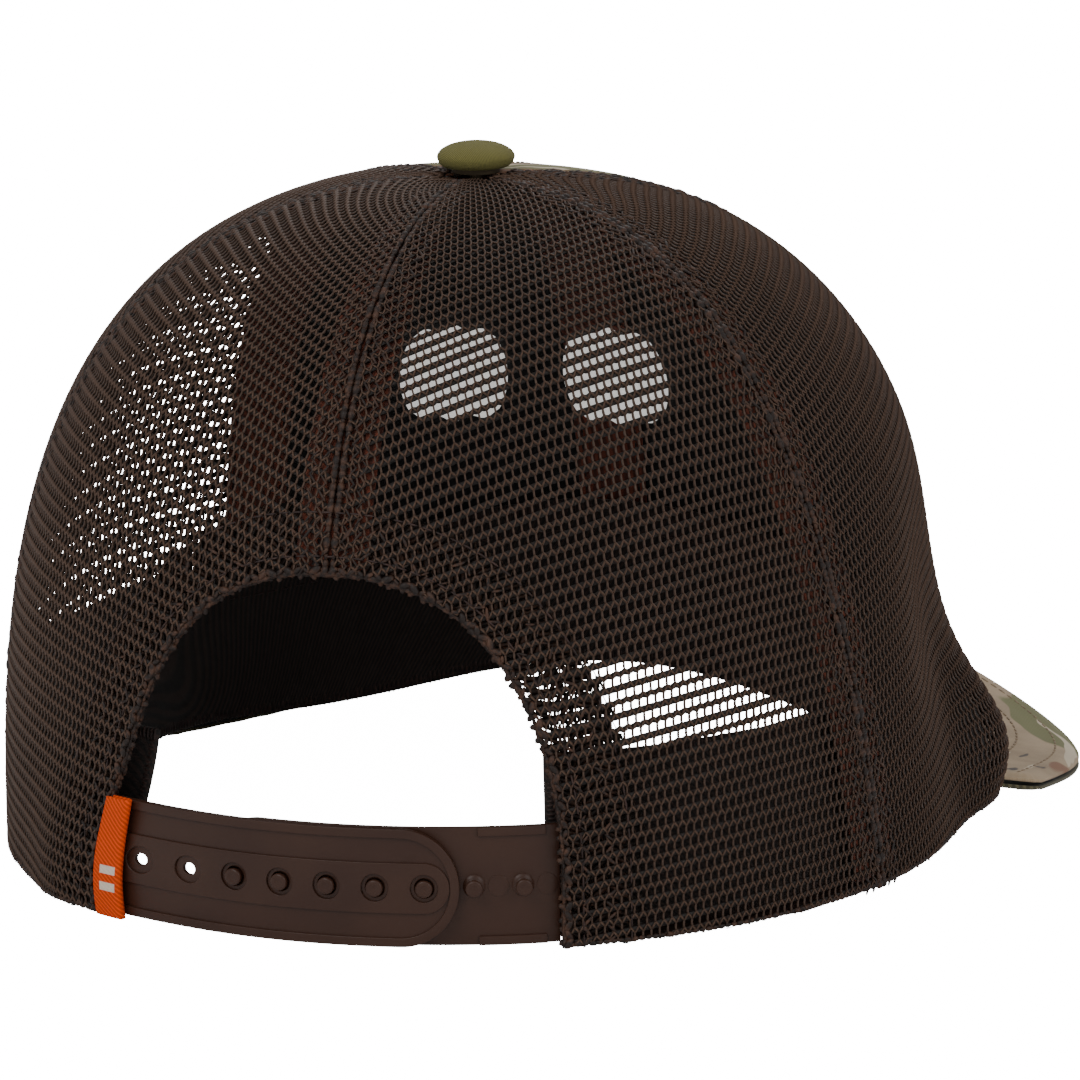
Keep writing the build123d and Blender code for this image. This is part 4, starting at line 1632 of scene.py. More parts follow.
# ---- woven layers of the crown
def crown_sheet(name: str, angle: Array, rise: Array, near: Array, thick: float, origin: float,
                rounded: float = 0.25) -> tuple[Mesh, float]:
    """Cloth slab that follows the crown.

    Args:
        name: mesh name.
        angle: grid of polar angles, n x m.
        rise: grid of rises.
        near: grid of depths of the outside face.
        thick: cloth thickness.
        origin: polar angle at which the cloth map starts.
        rounded: how much the rim bulges.

    Returns:
        The mesh and its one-sided area in square metres.
    """
    outer = CROWN.point(angle, rise, near)
    inner = CROWN.point(angle, rise, near + thick)
    climb = np.linalg.norm(np.diff(outer, axis=1), axis=2).cumsum(1)
    climb = np.concatenate([np.zeros((len(outer), 1)), climb], 1)
    around = np.hypot(outer[..., 0], outer[..., 1]) * (angle - origin)
    return slab(name, outer, inner, np.stack([around, climb], -1) * MM, rounded), grid_area(outer)


@dataclass
class FrontPanels(SewnWork):
    """Printed front panels, their stiffeners and the stitching beside their seams."""

    cloth: float = 0.65
    cloth_depth: float = 0.12
    cloth_flat: tuple[float, float] = (0.085, 0.15)
    seam_dip: float = 0.55
    seam_dip_reach: float = 0.8
    pucker: float = 0.10
    pucker_length: float = 6.0
    board: float = 0.72
    board_depth: float = 1.02
    board_flat: tuple[float, float] = (0.08, 0.14)
    board_wave: float = 0.08
    patches: tuple[tuple[str, float, float], ...] = (("left", 283.7, 298.9), ("middle", 260.2, 275.6))
    patch_at: float = 72.3
    patch_half: float = 10.3
    patch_round: float = 0.33
    patch_depth: float = 2.62
    patch_cloth: float = 0.2
    patch_flat: tuple[float, float] = (0.022, 0.022)
    top_stitch: Stitch = Stitch(2.6, 0.5, 0.5, 0.06)
    top_stitch_side: float = 1.7
    top_stitch_pitch: float = 3.1

    @staticmethod
    def grid(left: Seam, right: Seam, inset: float, lift: float, top_radius: float,
             columns: int, rows: int) -> tuple[Array, Array, Array]:
        """Angles, rises and distance to the nearer seam over one panel.

        Args:
            left: seam at the smaller polar angle.
            right: seam at the larger one.
            inset: distance kept from both seams.
            lift: height of the lower edge above the hem.
            top_radius: radius at which the panel stops.
            columns: points across.
            rows: points up.

        Returns:
            The three grids.
        """
        part = np.linspace(0, 1, rows)[None, :]
        top = CROWN.top_rise(top_radius)
        spot = CROWN.skin(left.angle(part), part * top)
        radius = np.maximum(np.hypot(spot[..., 0], spot[..., 1]), 1.0)
        a, b = left.angle(part) + inset / radius, right.angle(part) - inset / radius
        turn = (1 - np.cos(np.linspace(0, np.pi, columns))) / 2 * 0.6 + np.linspace(0, 1, columns) * 0.4
        angle = a + (b - a) * turn[:, None]
        low = CROWN.rise_at(CROWN.hem(angle) + lift)
        rise = low + (top - low) * part
        room = np.minimum(angle - a, b - angle) * radius
        return angle, rise, room

    def half(self, side: str, left: Seam, right: Seam) -> None:
        """Builds the printed panel and the stiffener of one side.

        Args:
            side: the wearer's side.
            left: seam at the smaller polar angle.
            right: seam at the larger one.
        """
        angle, rise, room = self.grid(left, right, 0.2, 0.0, 5.0, 61, 91)
        length = CROWN.height * rise / 1.5
        pucker = self.pucker * np.sin(length / self.pucker_length * 2 * np.pi + angle * 9)
        pucker *= np.exp(-(room / self.pucker_length) ** 2)
        near = self.cloth_depth + self.seam_dip * np.exp(-(room / self.seam_dip_reach) ** 2) + pucker
        mesh, area = crown_sheet("front_panel_" + side, angle, rise, near, self.cloth, FRONT)
        piece = keep_piece(f"front_panel_{side}_cloth", mesh, self.finishes.printed_twill,
                           "crown", ["front_panel_" + side])
        angle, rise, room = self.grid(left, right, 2.5, 2.0, 11.0, 31, 51)
        near = self.board_depth + self.board_wave * np.sin(angle * 31) * np.sin(rise * 23)
        mesh, area = crown_sheet("stiffener_" + side, angle, rise, near, self.board, FRONT)
        piece = keep_piece(f"stiffener_{side}_cloth", mesh, self.finishes.stiffener, "crown",
                           ["stiffener_" + side])

    def patch(self, name: str, start: float, end: float) -> None:
        """Builds one pale backing patch.

        Args:
            name: where it sits.
            start: polar angle of its one side, degrees.
            end: polar angle of its other side.
        """
        turn = np.radians(np.linspace(start, end, 21))[:, None] + np.zeros((1, 21))
        across, up = np.linspace(-1, 1, 21)[:, None], np.linspace(-1, 1, 21)[None, :]
        tall = self.patch_half * up * np.sqrt(1 - self.patch_round * across**2)
        high = self.patch_at + tall / (1 - 0.06 * np.cos(across * 9))
        turn = turn.mean() + (turn - turn.mean()) * np.sqrt(1 - self.patch_round * up**2)
        mesh, _ = crown_sheet("front_backing_" + name, turn, CROWN.rise_at(high),
                              np.full(turn.shape, self.patch_depth), self.patch_cloth, FRONT)
        piece = keep_piece("front_backing_" + name, mesh, self.finishes.backing, "crown")

    def build(self) -> None:
        """Builds panels, stiffeners, patches and top-stitching."""
        front, middle, thread = CROWN.front_seam, CROWN.middle_seam, self.finishes.top_thread
        front_left, side = front.mirrored(360.0), self.top_stitch_side
        self.half("right", front, middle)
        self.half("left", middle, front_left)
        for patch in self.patches:
            self.patch(*patch)
        rows = []
        for seam, at in ((middle, -side), (middle, side), (front, side), (front_left, -side)):
            line, out = seam_line(seam, at, self.cloth_depth, 1.5, 9.0)
            rows.append(self.row(line, self.top_stitch_pitch, out, thread, self.top_stitch))
        self.keep_rows("front_top_stitching", rows, thread, "printed_twill")


@dataclass
class SeamTapes(SewnWork):
    """Tapes sewn behind the seams."""

    width: float = 14.0
    count: int = 91
    thick: float = 0.45
    thin: float = 0.38        # in front, where the tape lies deeper
    ripple: float = 0.03
    stitch: Stitch = Stitch(2.4, 0.5, 0.4, 0.08)
    stitch_pitch: float = 2.9
    stitch_at: float = 0.8    # share of the half width

    def tape(self, name: str, seam: Seam, low: float, top_radius: float, depth: float) -> None:
        """Builds one tape with two rows of stitches.

        Args:
            name: its CAD node.
            seam: the seam it covers.
            low: height at which it starts.
            top_radius: radius at which it stops.
            depth: depth of its outside face.
        """
        thick = self.thick if depth < 2 else self.thin
        part = np.linspace(0, 1, self.count)[None, :]
        low_rise, top = float(CROWN.rise_at(low)), CROWN.top_rise(top_radius)
        rise = low_rise + (top - low_rise) * part
        centre = seam.angle(rise / (math.pi / 2))
        spot = CROWN.skin(centre, rise)
        half = np.arctan(self.width / 2 / np.hypot(spot[..., 0], spot[..., 1]))
        share = np.linspace(-1, 1, 13)[:, None]
        angle = centre + share * half
        rise = np.broadcast_to(rise, angle.shape)
        near = depth + self.ripple * np.cos(share * 5) * np.sin(part * 70)
        mesh, area = crown_sheet(name, angle, rise, near, thick, 0.0)
        piece = keep_piece(name + "_cloth", mesh, self.finishes.seam_tape, "crown", [name])
        rows = []
        for at in (-self.stitch_at, self.stitch_at):
            line_angle = centre[0] + at * half[0]
            line = CROWN.point(line_angle, rise[0], np.full(self.count, depth + thick))
            rows.append(self.row(line, self.stitch_pitch, -CROWN.normal(line_angle, rise[0]),
                                 self.finishes.overlock, self.stitch))
        self.keep_rows(name + "_stitches", rows, self.finishes.overlock, "seam_tape")

    def build(self) -> None:
        """Builds the six tapes."""
        rear, front = CROWN.rear_seam, CROWN.front_seam
        self.tape("tape_centre_back", CROWN.back_seam, 69.0, 9.0, 1.2)
        self.tape("tape_rear_right", rear, 2.0, 17.0, 1.2)
        self.tape("tape_rear_left", rear.mirrored(), 2.0, 17.0, 1.2)
        self.tape("tape_front_right", front, 4.0, 17.0, 2.1)
        self.tape("tape_front_left", front.mirrored(360.0), 4.0, 17.0, 2.1)
        self.tape("tape_centre_front", CROWN.middle_seam, 13.5, 9.0, 2.1)


@dataclass
class SweatBand(SewnWork):
    """Twill sweatband with overlocked edges and the foam pad behind the forehead."""

    lift: float = 1.0
    tall: float = 34.0
    cloth: float = 0.85
    depth: float = 4.25
    ripple: float = 0.22
    ends: tuple[float, float] = (42.3, 41.8)         # arcs of its ends from the centre back
    tucks: tuple[float, float] = (1.6, 2.6)          # how far the ends are tucked inwards
    tuck_reach: tuple[float, float] = (0.1, 0.11)
    overlock_mid: float = 0.43
    rim_stitch: Stitch = Stitch(3.0, 0.82, 1.5, 0.08)
    rim_shift: float = 0.008
    end_stitch: Stitch = Stitch(2.7, 0.8, 1.4, 0.07)
    end_pitch: float = 0.8
    end_shift: float = 1.1
    hold_stitch: Stitch = Stitch(2.4, 0.5, 0.4, 0.06)
    hold_row: int = 13
    hold_pitch: float = 3.0
    flat: tuple[float, float] = (0.036, 0.5)
    turning: tuple[float, float] = (45.5, 47.5)      # arcs of the turned hem's ends
    turning_depth: tuple[float, float] = (0.7, 4.8)
    hem_radius: float = 95.0
    pad_half_deg: float = 44.0
    pad_low: float = 5.0
    pad_high: float = 29.0
    pad_mid: float = 3.25
    pad_thin: float = 0.35
    pad_full: float = 0.5
    pad_fill: float = 0.4

    @staticmethod
    def belt(start: float, end: float, low: float, high: float, columns: int,
             rows: int) -> tuple[Array, Array]:
        """Angles and rises of a band that follows the hem.

        Args:
            start: polar angle of its one end.
            end: polar angle of its other end.
            low: height of its lower edge above the hem.
            high: height of its upper edge.
            columns: points along.
            rows: points up.

        Returns:
            The two grids.
        """
        angle = np.linspace(start, end, columns)[:, None] + np.zeros((1, rows))
        low_rise, high_rise = CROWN.rise_at(CROWN.hem(angle) + low), CROWN.rise_at(CROWN.hem(angle) + high)
        return angle, low_rise + (high_rise - low_rise) * np.linspace(0, 1, rows)[None, :]

    def band(self) -> float:
        """Builds the band, its overlock and its holding stitches.

        Returns:
            The polar angle at which it starts.
        """
        overlock, slot = self.finishes.overlock, "sweatband_twill"
        start, end = CROWN.hem_angle(self.ends[0]), 3 * math.pi - CROWN.hem_angle(self.ends[1])
        angle, rise = self.belt(start, end, self.lift, self.lift + self.tall, 361, 17)
        ripple = self.ripple * np.sin(angle * 17 + 2 * np.sin(angle * 5)) * np.linspace(0, 1, 17)[None, :] ** 2
        tuck = self.tucks[0] * np.exp(-((angle - start) / self.tuck_reach[0]) ** 2)
        tuck = tuck + self.tucks[1] * np.exp(-((end - angle) / self.tuck_reach[1]) ** 2)
        near = self.depth + ripple + tuck
        mesh, area = crown_sheet("sweatband", angle, rise, near, self.cloth, start, 0.4)
        piece = keep_piece("sweatband_cloth", mesh, self.finishes.sweatband_twill, "crown",
                           ["sweatband"])
        rows = []
        for row, pitch, shift in ((16, 0.85, -self.rim_shift), (0, 0.95, self.rim_shift)):
            line = CROWN.point(angle[:, row], rise[:, row] + shift, near[:, row] + self.overlock_mid)
            spots, _, out = row_along(line, pitch, CROWN.normal(angle[:, row], rise[:, row]))
            upward = np.tile([0.0, 0.0, 1.0], (len(spots), 1))
            rows.append(self.tool.sew(spots, upward, out, overlock, self.rim_stitch))
        for column, way in ((0, 1), (-1, -1)):
            line = CROWN.point(angle[column], rise[column], near[column] + self.overlock_mid)
            spots, _, out = row_along(line, self.end_pitch, CROWN.normal(angle[column], rise[column]))
            spin = np.stack([-out[:, 1], out[:, 0], 0 * out[:, 0]], -1) * way
            rows.append(self.tool.sew(spots + spin * self.end_shift, spin, out, overlock, self.end_stitch))
        self.keep_rows("sweatband_overlock", rows, overlock, slot)
        angle, rise = angle[:, self.hold_row], rise[:, self.hold_row]
        line = CROWN.point(angle, rise, near[:, self.hold_row] + self.cloth)
        hold = self.row(line, self.hold_pitch, -CROWN.normal(angle, rise), overlock, self.hold_stitch)
        keep_piece("sweatband_stitches", hold, overlock, "crown")
        return start

    def turned_hem(self, origin: float) -> None:
        """Builds the hem's turning under the band.

        Args:
            origin: polar angle at which its cloth map starts.
        """
        start, end = CROWN.hem_angle(self.turning[0]), 3 * math.pi - CROWN.hem_angle(self.turning[1])
        angle, share = np.linspace(start, end, 361)[:, None] + np.zeros((1, 7)), np.linspace(0, 1, 7)[None, :]
        depth = np.linspace(*self.turning_depth, 7)[None, :] + 0 * angle
        low = CROWN.rise_at(CROWN.hem(angle) + 0.3 + 0.4 * share)
        high = CROWN.rise_at(CROWN.hem(angle) + 0.8 + 0.8 * share)
        lower, upper = CROWN.point(angle, low, depth), CROWN.point(angle, high, depth)
        maps = np.stack([self.hem_radius * (angle - origin), depth], -1) * MM
        keep_piece("hem_turning", slab("hem_turning", lower, upper, maps, 0.3), self.finishes.overlock,
                   "crown")

    def pad(self) -> None:
        """Builds the foam pad, thick in its middle and thin at its edges."""
        half = math.radians(self.pad_half_deg)
        angle, rise = self.belt(1.5 * math.pi - half, 1.5 * math.pi + half, self.pad_low, self.pad_high, 89, 15)
        across = np.linspace(-1, 1, 89)[:, None]
        up = np.linspace(-1, 1, 15)[None, :]
        full = (1 - np.abs(across) ** 6) * (1 - np.abs(up) ** 4)
        thick = self.pad_thin + self.pad_full * full * (0.85 + 0.15 * np.cos(across * 40))
        near = self.pad_mid - thick / 2
        outer, inner = CROWN.point(angle, rise, near), CROWN.point(angle, rise, near + thick)
        maps = np.stack([across * 0.07 + 0 * up, up * 0.012 + 0 * across], -1)
        piece = keep_piece("sweatband_pad", slab("sweatband_pad", outer, inner, maps, 0.4),
                           self.finishes.padding, "crown", ["sweatband_padding"])

    def build(self) -> None:
        """Builds the band, the hem's turning and the pad."""
        self.turned_hem(self.band())
        self.pad()


@dataclass
class ArchFacing(SewnWork):
    """Second layer of knit, turned in round the arch, with its rows of stitches."""

    width: float = 12.0
    depth: float = 2.25
    upright: float = 122.0
    drop: tuple[float, float] = (6.0, 16.0)
    flat: tuple[float, float] = (0.05, 0.1)
    cell: KnitCell = KnitCell(wide_ribbon=2.0, narrow_ribbon=1.85, ribbon_thick=0.2, post_width=0.5,
                              thread=0.1)
    stitch: Stitch = Stitch(2.2, 0.4, 0.4, 0.08)
    stitch_pitch: float = 2.7
    stitch_rows: tuple[float, float] = (3.0, 10.5)

    def build(self) -> None:
        """Builds the facing from two knitted halves and sews it down."""
        cell_piece = stand("facing_cell", self.cell.mesh())
        back, rear, knit = CROWN.back_seam, CROWN.rear_seam, self.finishes.mesh_knit
        halves, area = [], 0.0
        for name, left, right, level, upright in (
                ("facing_right", back, rear, rear, self.upright),
                ("facing_left", rear.mirrored(), back, rear.mirrored(), 180.0 - self.upright)):
            panel = KnitPanel(name, left, right, level, upright, *self.drop, True, self.flat,
                              depth=self.depth, band=self.width)
            halves.append(panel.knit(self.tool, self.cell, cell_piece, knit))
            area += panel.area
        mesh = joined("arch_facing", halves)
        close_ends(mesh)
        piece = keep_piece("arch_facing_knit", mesh, knit, "crown", ["arch_facing"])
        bpy.data.objects.remove(cell_piece)
        rows = []
        for grow in self.stitch_rows:
            line, out = CROWN.arch_line(400, grow, -0.02)
            rows.append(self.row(line, self.stitch_pitch, out, self.finishes.overlock, self.stitch))
        self.keep_rows("arch_stitches", rows, self.finishes.overlock, "mesh_knit")


# ---- closure, tag, button
class HemWrap:
    """Bends flat work, drawn as arc, height and outward lift, round the rear hem."""

    def __init__(self) -> None:
        """Tabulates the hem."""
        self.turn = np.radians(np.linspace(-10, 190, 2001))
        walked = walk(CROWN.skin(self.turn, np.zeros(2001)))
        self.walked = walked - np.interp(math.pi / 2, self.turn, walked)

    def wrap(self, flat: Array) -> Array:
        """Bends flat points round the hem.

        Args:
            flat: points as arc, height and lift.

        Returns:
            Points of the cap's frame.
        """
        angle = np.interp(flat[:, 0], self.walked, self.turn)
        spots = CROWN.point(angle, np.zeros(len(angle)), -flat[:, 2])
        spots[:, 2] = flat[:, 1]
        return spots


def ring(x: float, y: float, radius: float, count: int = 40) -> Array:
    """Points of a circle."""
    turn = np.linspace(0, 2 * np.pi, count, endpoint=False)
    return np.stack([x + radius * np.cos(turn), y + radius * np.sin(turn)], -1)


def tongue(root: float, tip: float, low: float, high: float, inset: float = 0.0) -> Array:
    """Open outline of a strap end: along the low edge, round the tip, back along the high edge.

    Args:
        root: arc at which it starts.
        tip: arc of its round tip.
        low: height of its low edge.
        high: height of its high edge.
        inset: how far inside the edges it runs.

    Returns:
        Points of the outline.
    """
    way = 1.0 if tip > root else -1.0
    radius = (high - low) / 2 - inset
    turn = np.linspace(-np.pi / 2, np.pi / 2, 33)
    centre = tip - way * (radius + inset)
    arc = np.stack([centre + way * radius * np.cos(turn), (low + high) / 2 + radius * np.sin(turn)], -1)
    return np.concatenate([[[root, low + inset]], arc, [[root, high - inset]]])


def plate(outlines: Sequence[Array], low: float, high: float, edge: float, wrap: HemWrap) -> Mesh:
    """Flat moulded plate with rounded edges, bent round the hem.

    Args:
        outlines: closed outlines, the first the rim and the others holes.
        low: outward lift of its inner face.
        high: outward lift of its outer face.
        edge: rounding of its edges.
        wrap: the bend.

    Returns:
        The bent mesh.
    """
    curve = bpy.data.curves.new("plate", "CURVE")
    curve.dimensions, curve.fill_mode = "2D", "BOTH"
    curve.extrude, curve.bevel_depth, curve.bevel_resolution = (high - low) / 2 - edge, edge, 2
    curve.offset = -edge
    for outline in outlines:
        n = len(outline)
        spline = curve.splines.new("POLY")
        spline.points.add(n - 1)
        spline.points.foreach_set("co", np.column_stack([outline, np.zeros(n), np.ones(n)]).ravel())
        spline.use_cyclic_u = True
    carrier = stand("plate", curve)
    graph = bpy.context.evaluated_depsgraph_get()
    graph.update()
    mesh = bpy.data.meshes.new_from_object(carrier.evaluated_get(graph), depsgraph=graph)
    bpy.data.objects.remove(carrier)
    with reworked(mesh) as work:
        bmesh.ops.remove_doubles(work, verts=work.verts, dist=0.001)
        xs = [v.co.x for v in work.verts]
        for x in np.arange(math.floor(min(xs)) + 0.77, max(xs), 1.3):
            bmesh.ops.bisect_plane(work, geom=work.verts[:] + work.edges[:] + work.faces[:], dist=1e-5,
                                   plane_co=(x, 0, 0), plane_no=(1, 0, 0))
        bmesh.ops.recalc_face_normals(work, faces=work.faces)
        flat = np.array([v.co for v in work.verts])
        flat[:, 2] += (low + high) / 2
        for vert, spot in zip(work.verts, settle(wrap.wrap(flat))):
            vert.co = spot
        work.normal_update()
        bmesh.ops.reverse_faces(work, faces=work.faces)
        if work.calc_volume(signed=True) < 0:
            bmesh.ops.reverse_faces(work, faces=work.faces)
    shade_smooth(mesh)
    mesh.set_sharp_from_angle(angle=math.radians(40))
    return mesh


@dataclass
class SnapClosure:
    """The two snap straps; arcs run from the centre back, + to the wearer's right."""

    finishes: Finishes
    wrap: HemWrap
    root: float = 44.05
    low: float = 0.6
    high: float = 22.6
    pitch: float = 9.2
    first: float = 7.5
    count: int = 7
    web: float = 1.0
    web_edge: float = 0.12
    rim: float = 0.45
    rim_edge: float = 0.14
    rim_width: float = 1.7
    sunk: float = 0.2             # how far rims and rails reach into the web
    rail: float = 9.4
    hole: float = 5.1
    pin_hole: float = 3.0
    spare: int = 2
    spare_share: float = 0.75     # width of an empty web hole and of one stretched by its stud
    used_share: float = 1.22
    outer_depth: float = 1.7
    outer_tip: float = 25.15
    inner_depth: float = 3.05
    inner_tip: float = -24.65
    first_stud: float = -18.15
    bar: tuple[float, float] = (28.65, 41.45)
    pip_radius: float = 2.0
    # radius and height of the turned stud, from its foot to the dimple in its head
    profile: tuple[tuple[float, float], ...] = (
        (2.15, -0.1), (2.1, 0.1), (1.45, 0.22), (1.2, 0.4), (1.2, 1.45), (1.35, 1.55), (1.58, 1.62),
        (1.6, 1.8), (1.6, 2.15), (1.5, 2.38), (1.25, 2.5), (0.8, 2.52), (0.6, 2.44), (0.25, 2.4))

    def stud(self, arc: float) -> Mesh:
        """Turned stud with a neck, a rounded head and a dimple.

        Args:
            arc: where it stands.

        Returns:
            The mesh.
        """
        n, middle = 28, (self.low + self.high) / 2
        turns = np.linspace(0, 2 * np.pi, n, endpoint=False)
        flat = [[arc + r * math.cos(t), middle + r * math.sin(t), h - self.inner_depth]
                for r, h in self.profile for t in turns]
        faces = [[(i + 1) * n + j, (i + 1) * n + (j + 1) % n, i * n + (j + 1) % n, i * n + j]
                 for i in range(len(self.profile) - 1) for j in range(n)]
        faces.append([(len(self.profile) - 1) * n + j for j in range(n)][::-1])
        faces.append(list(range(n)))
        return mesh_from("stud", self.wrap.wrap(np.array(flat)), faces)

    def raised(self, outlines: Sequence[Array], web_out: float) -> Mesh:
        """Rim or rail raised on a strap's web."""
        return plate(outlines, web_out - self.sunk, web_out + self.rim, self.rim_edge, self.wrap)

    def outer(self) -> None:
        """Builds the outer strap: web, rim and the rail with its recesses."""
        holes = [-self.root + self.first + self.pitch * i for i in range(self.count)]
        middle, out = (self.low + self.high) / 2, -self.outer_depth
        edge = tongue(-self.root, self.outer_tip, self.low, self.high)
        inside = tongue(-self.root, self.outer_tip, self.low, self.high, self.rim_width)
        web = [edge]
        for i, x in enumerate(holes):
            share = self.spare_share if i < self.spare else self.used_share
            web.append(ring(x, middle, self.pin_hole / 2 * share))
        half = self.rail / 2
        rail = [tongue(-self.root, holes[-1] + half, middle - half, middle + half)]
        rail += [ring(x, middle, self.hole / 2) for x in holes]
        parts = [plate(web, out - self.web, out, self.web_edge, self.wrap),
                 self.raised([np.concatenate([edge, inside[::-1]])], out), self.raised(rail, out)]
        keep_piece("outer_strap_moulded", joined("outer_strap_moulded", parts), self.finishes.strap_plastic,
                   "outer_strap", ["outer_strap"])

    def inner(self) -> None:
        """Builds the inner strap: web, edge bars, studs and the two moulding pips."""
        middle, out = (self.low + self.high) / 2, -self.inner_depth
        parts = [plate([tongue(self.root, self.inner_tip, self.low, self.high)], out - self.web, out,
                       self.web_edge, self.wrap)]
        (near, far), wide = self.bar, self.rim_width
        for low in (self.low, self.high - wide):
            bar = np.array([[near, low], [far, low], [far, low + wide], [near, low + wide]])
            parts.append(self.raised([bar], out))
        studs = [self.first_stud + self.pitch * i for i in range(self.count)]
        parts += [self.stud(x) for x in studs]
        for x in (studs[5] + studs[6]) / 2, studs[6] + self.pitch / 2:
            parts.append(plate([ring(x, middle, self.pip_radius)], out - 0.1, out + 0.1, 0.05, self.wrap))
        keep_piece("inner_strap_moulded", joined("inner_strap_moulded", parts), self.finishes.strap_plastic,
                   "inner_strap", ["inner_strap"])

    def build(self) -> None:
        """Builds both straps."""
        self.outer()
        self.inner()


@dataclass
class FlagLabel:
    """Folded twill tag over the strap's root."""

    finishes: Finishes
    wrap: HemWrap
    start: float = -44.05
    fold: float = -39.0
    out_lift: float = 0.8
    in_lift: float = -0.9
    low: float = 0.3
    tall: float = 22.6
    cloth: float = 0.45
    wave: float = 0.12
    flare: float = 0.25
    lean: float = 0.22

    def build(self) -> None:
        """Builds the loop."""
        half = self.cloth / 2
        bend = (self.out_lift - self.in_lift) / 2 - half
        middle = (self.out_lift + self.in_lift) / 2
        centre = self.fold - bend - half
        run = np.linspace(self.start, centre, 12)
        turn = np.linspace(np.pi / 2, -np.pi / 2, 13)[1:-1]
        path = np.concatenate([np.stack([run, 0 * run + middle + bend], -1),
                               np.stack([centre + bend * np.cos(turn), middle + bend * np.sin(turn)], -1),
                               np.stack([run[::-1], 0 * run + middle - bend], -1)])
        way = np.gradient(path, axis=0)
        way /= np.linalg.norm(way, axis=1, keepdims=True)
        side = np.stack([-way[:, 1], way[:, 0]], -1)
        walked = walk(path)[:, None]
        up = np.linspace(0, 1, 31)[None, :]
        slack = (path[:, :1] - self.start) / (self.fold - self.start)
        push = (self.wave * np.sin(7 * up + 0.6) + self.flare * (1 - up) ** 3) * slack
        push = push * np.where(path[:, 1:] > middle, 1.0, 0.3)
        lean = self.lean * (1 - up) ** 2 * slack
        skins = []
        for sign in (1, -1):
            spot = path + side * half * sign
            high = self.low + self.tall * up + 0 * slack
            flat = np.stack([spot[:, :1] + lean, high, spot[:, 1:] + push], -1)
            skins.append(self.wrap.wrap(flat.reshape(-1, 3)).reshape(flat.shape))
        maps = np.stack([walked + 0 * up, self.tall * up + 0 * walked], -1) * MM
        mesh = slab("flag_label", *skins, maps, 0.3)
        with reworked(mesh) as work:
            if work.calc_volume(signed=True) < 0:
                bmesh.ops.reverse_faces(work, faces=work.faces)
        piece = keep_piece("flag_label_cloth", mesh, self.finishes.tag_twill, "flag_label",
                           ["flag_label"])


@dataclass
class TopButton:
    """Cloth-covered button."""

    finishes: Finishes
    radius: float = 7.4
    low: float = 126.0
    dome: float = 4.7
    edge: float = 0.36          # share of the dome's height at which its edge stands
    cover: float = 0.6
    flat_side: float = 0.022
    flat_radius: float = 0.0105

    def build(self) -> None:
        """Builds the cloth cover and dresses the metal parts."""
        r, z, h = self.radius, self.low, self.dome
        up = np.radians(np.linspace(90, 0, 15))
        rim, tall = z + h * self.edge, h * (1 - self.edge)
        outer = [(r * math.cos(t) ** 0.9, rim + tall * math.sin(t)) for t in up]
        outer += [(r - 0.35, z + 0.75), (r - 1.1, z + 0.08), (r - 2.4, z + 0.02)]
        inner = [(r - 2.4, z + 0.5), (r - 1.5, z + 0.62), (r - 0.75, z + 1.6)]
        inner += [((r - self.cover) * math.cos(t), rim + (tall - self.cover) * math.sin(t))
                  for t in up[::-1][1:]]
        profile = np.array(outer + inner)
        turns, n = np.linspace(0, 2 * np.pi, 72, endpoint=False), 72
        points, maps = [], []
        for (radius, height), walked in zip(profile, walk(profile)):
            for t in turns:
                fold = 1 + 0.006 * math.sin(11 * t + 1) * min(1.0, radius / r) if radius > 1 else 1
                points.append((radius * fold * math.cos(t), radius * fold * math.sin(t), height))
                maps.append((walked * math.cos(t) * MM, walked * math.sin(t) * MM))
        faces = [[i * n + j, (i + 1) * n + j, (i + 1) * n + (j + 1) % n, i * n + (j + 1) % n]
                 for i in range(len(profile) - 1) for j in range(n)]
        mesh = mesh_from("button_cover", np.array(points), faces, np.array(maps))
        with reworked(mesh) as work:
            bmesh.ops.remove_doubles(work, verts=work.verts, dist=2e-6)
            bmesh.ops.recalc_face_normals(work, faces=work.faces)
        piece = keep_piece("button_cover_cloth", mesh, self.finishes.button_cloth, "crown",
                           ["button_cover"])
        shade_smooth(mesh)
        for name in ("button_shell", "button_post", "button_backing"):
            dress(name, self.finishes.button_metal)


def dress(node: str, finish: Material) -> None:
    """Gives a CAD node its finish.

    Args:
        node: its name.
        finish: the material.
    """
    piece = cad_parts[node]
    if not piece.material_slots:
        piece.data.materials.append(finish)
    for slot in piece.material_slots:
        slot.material = finish


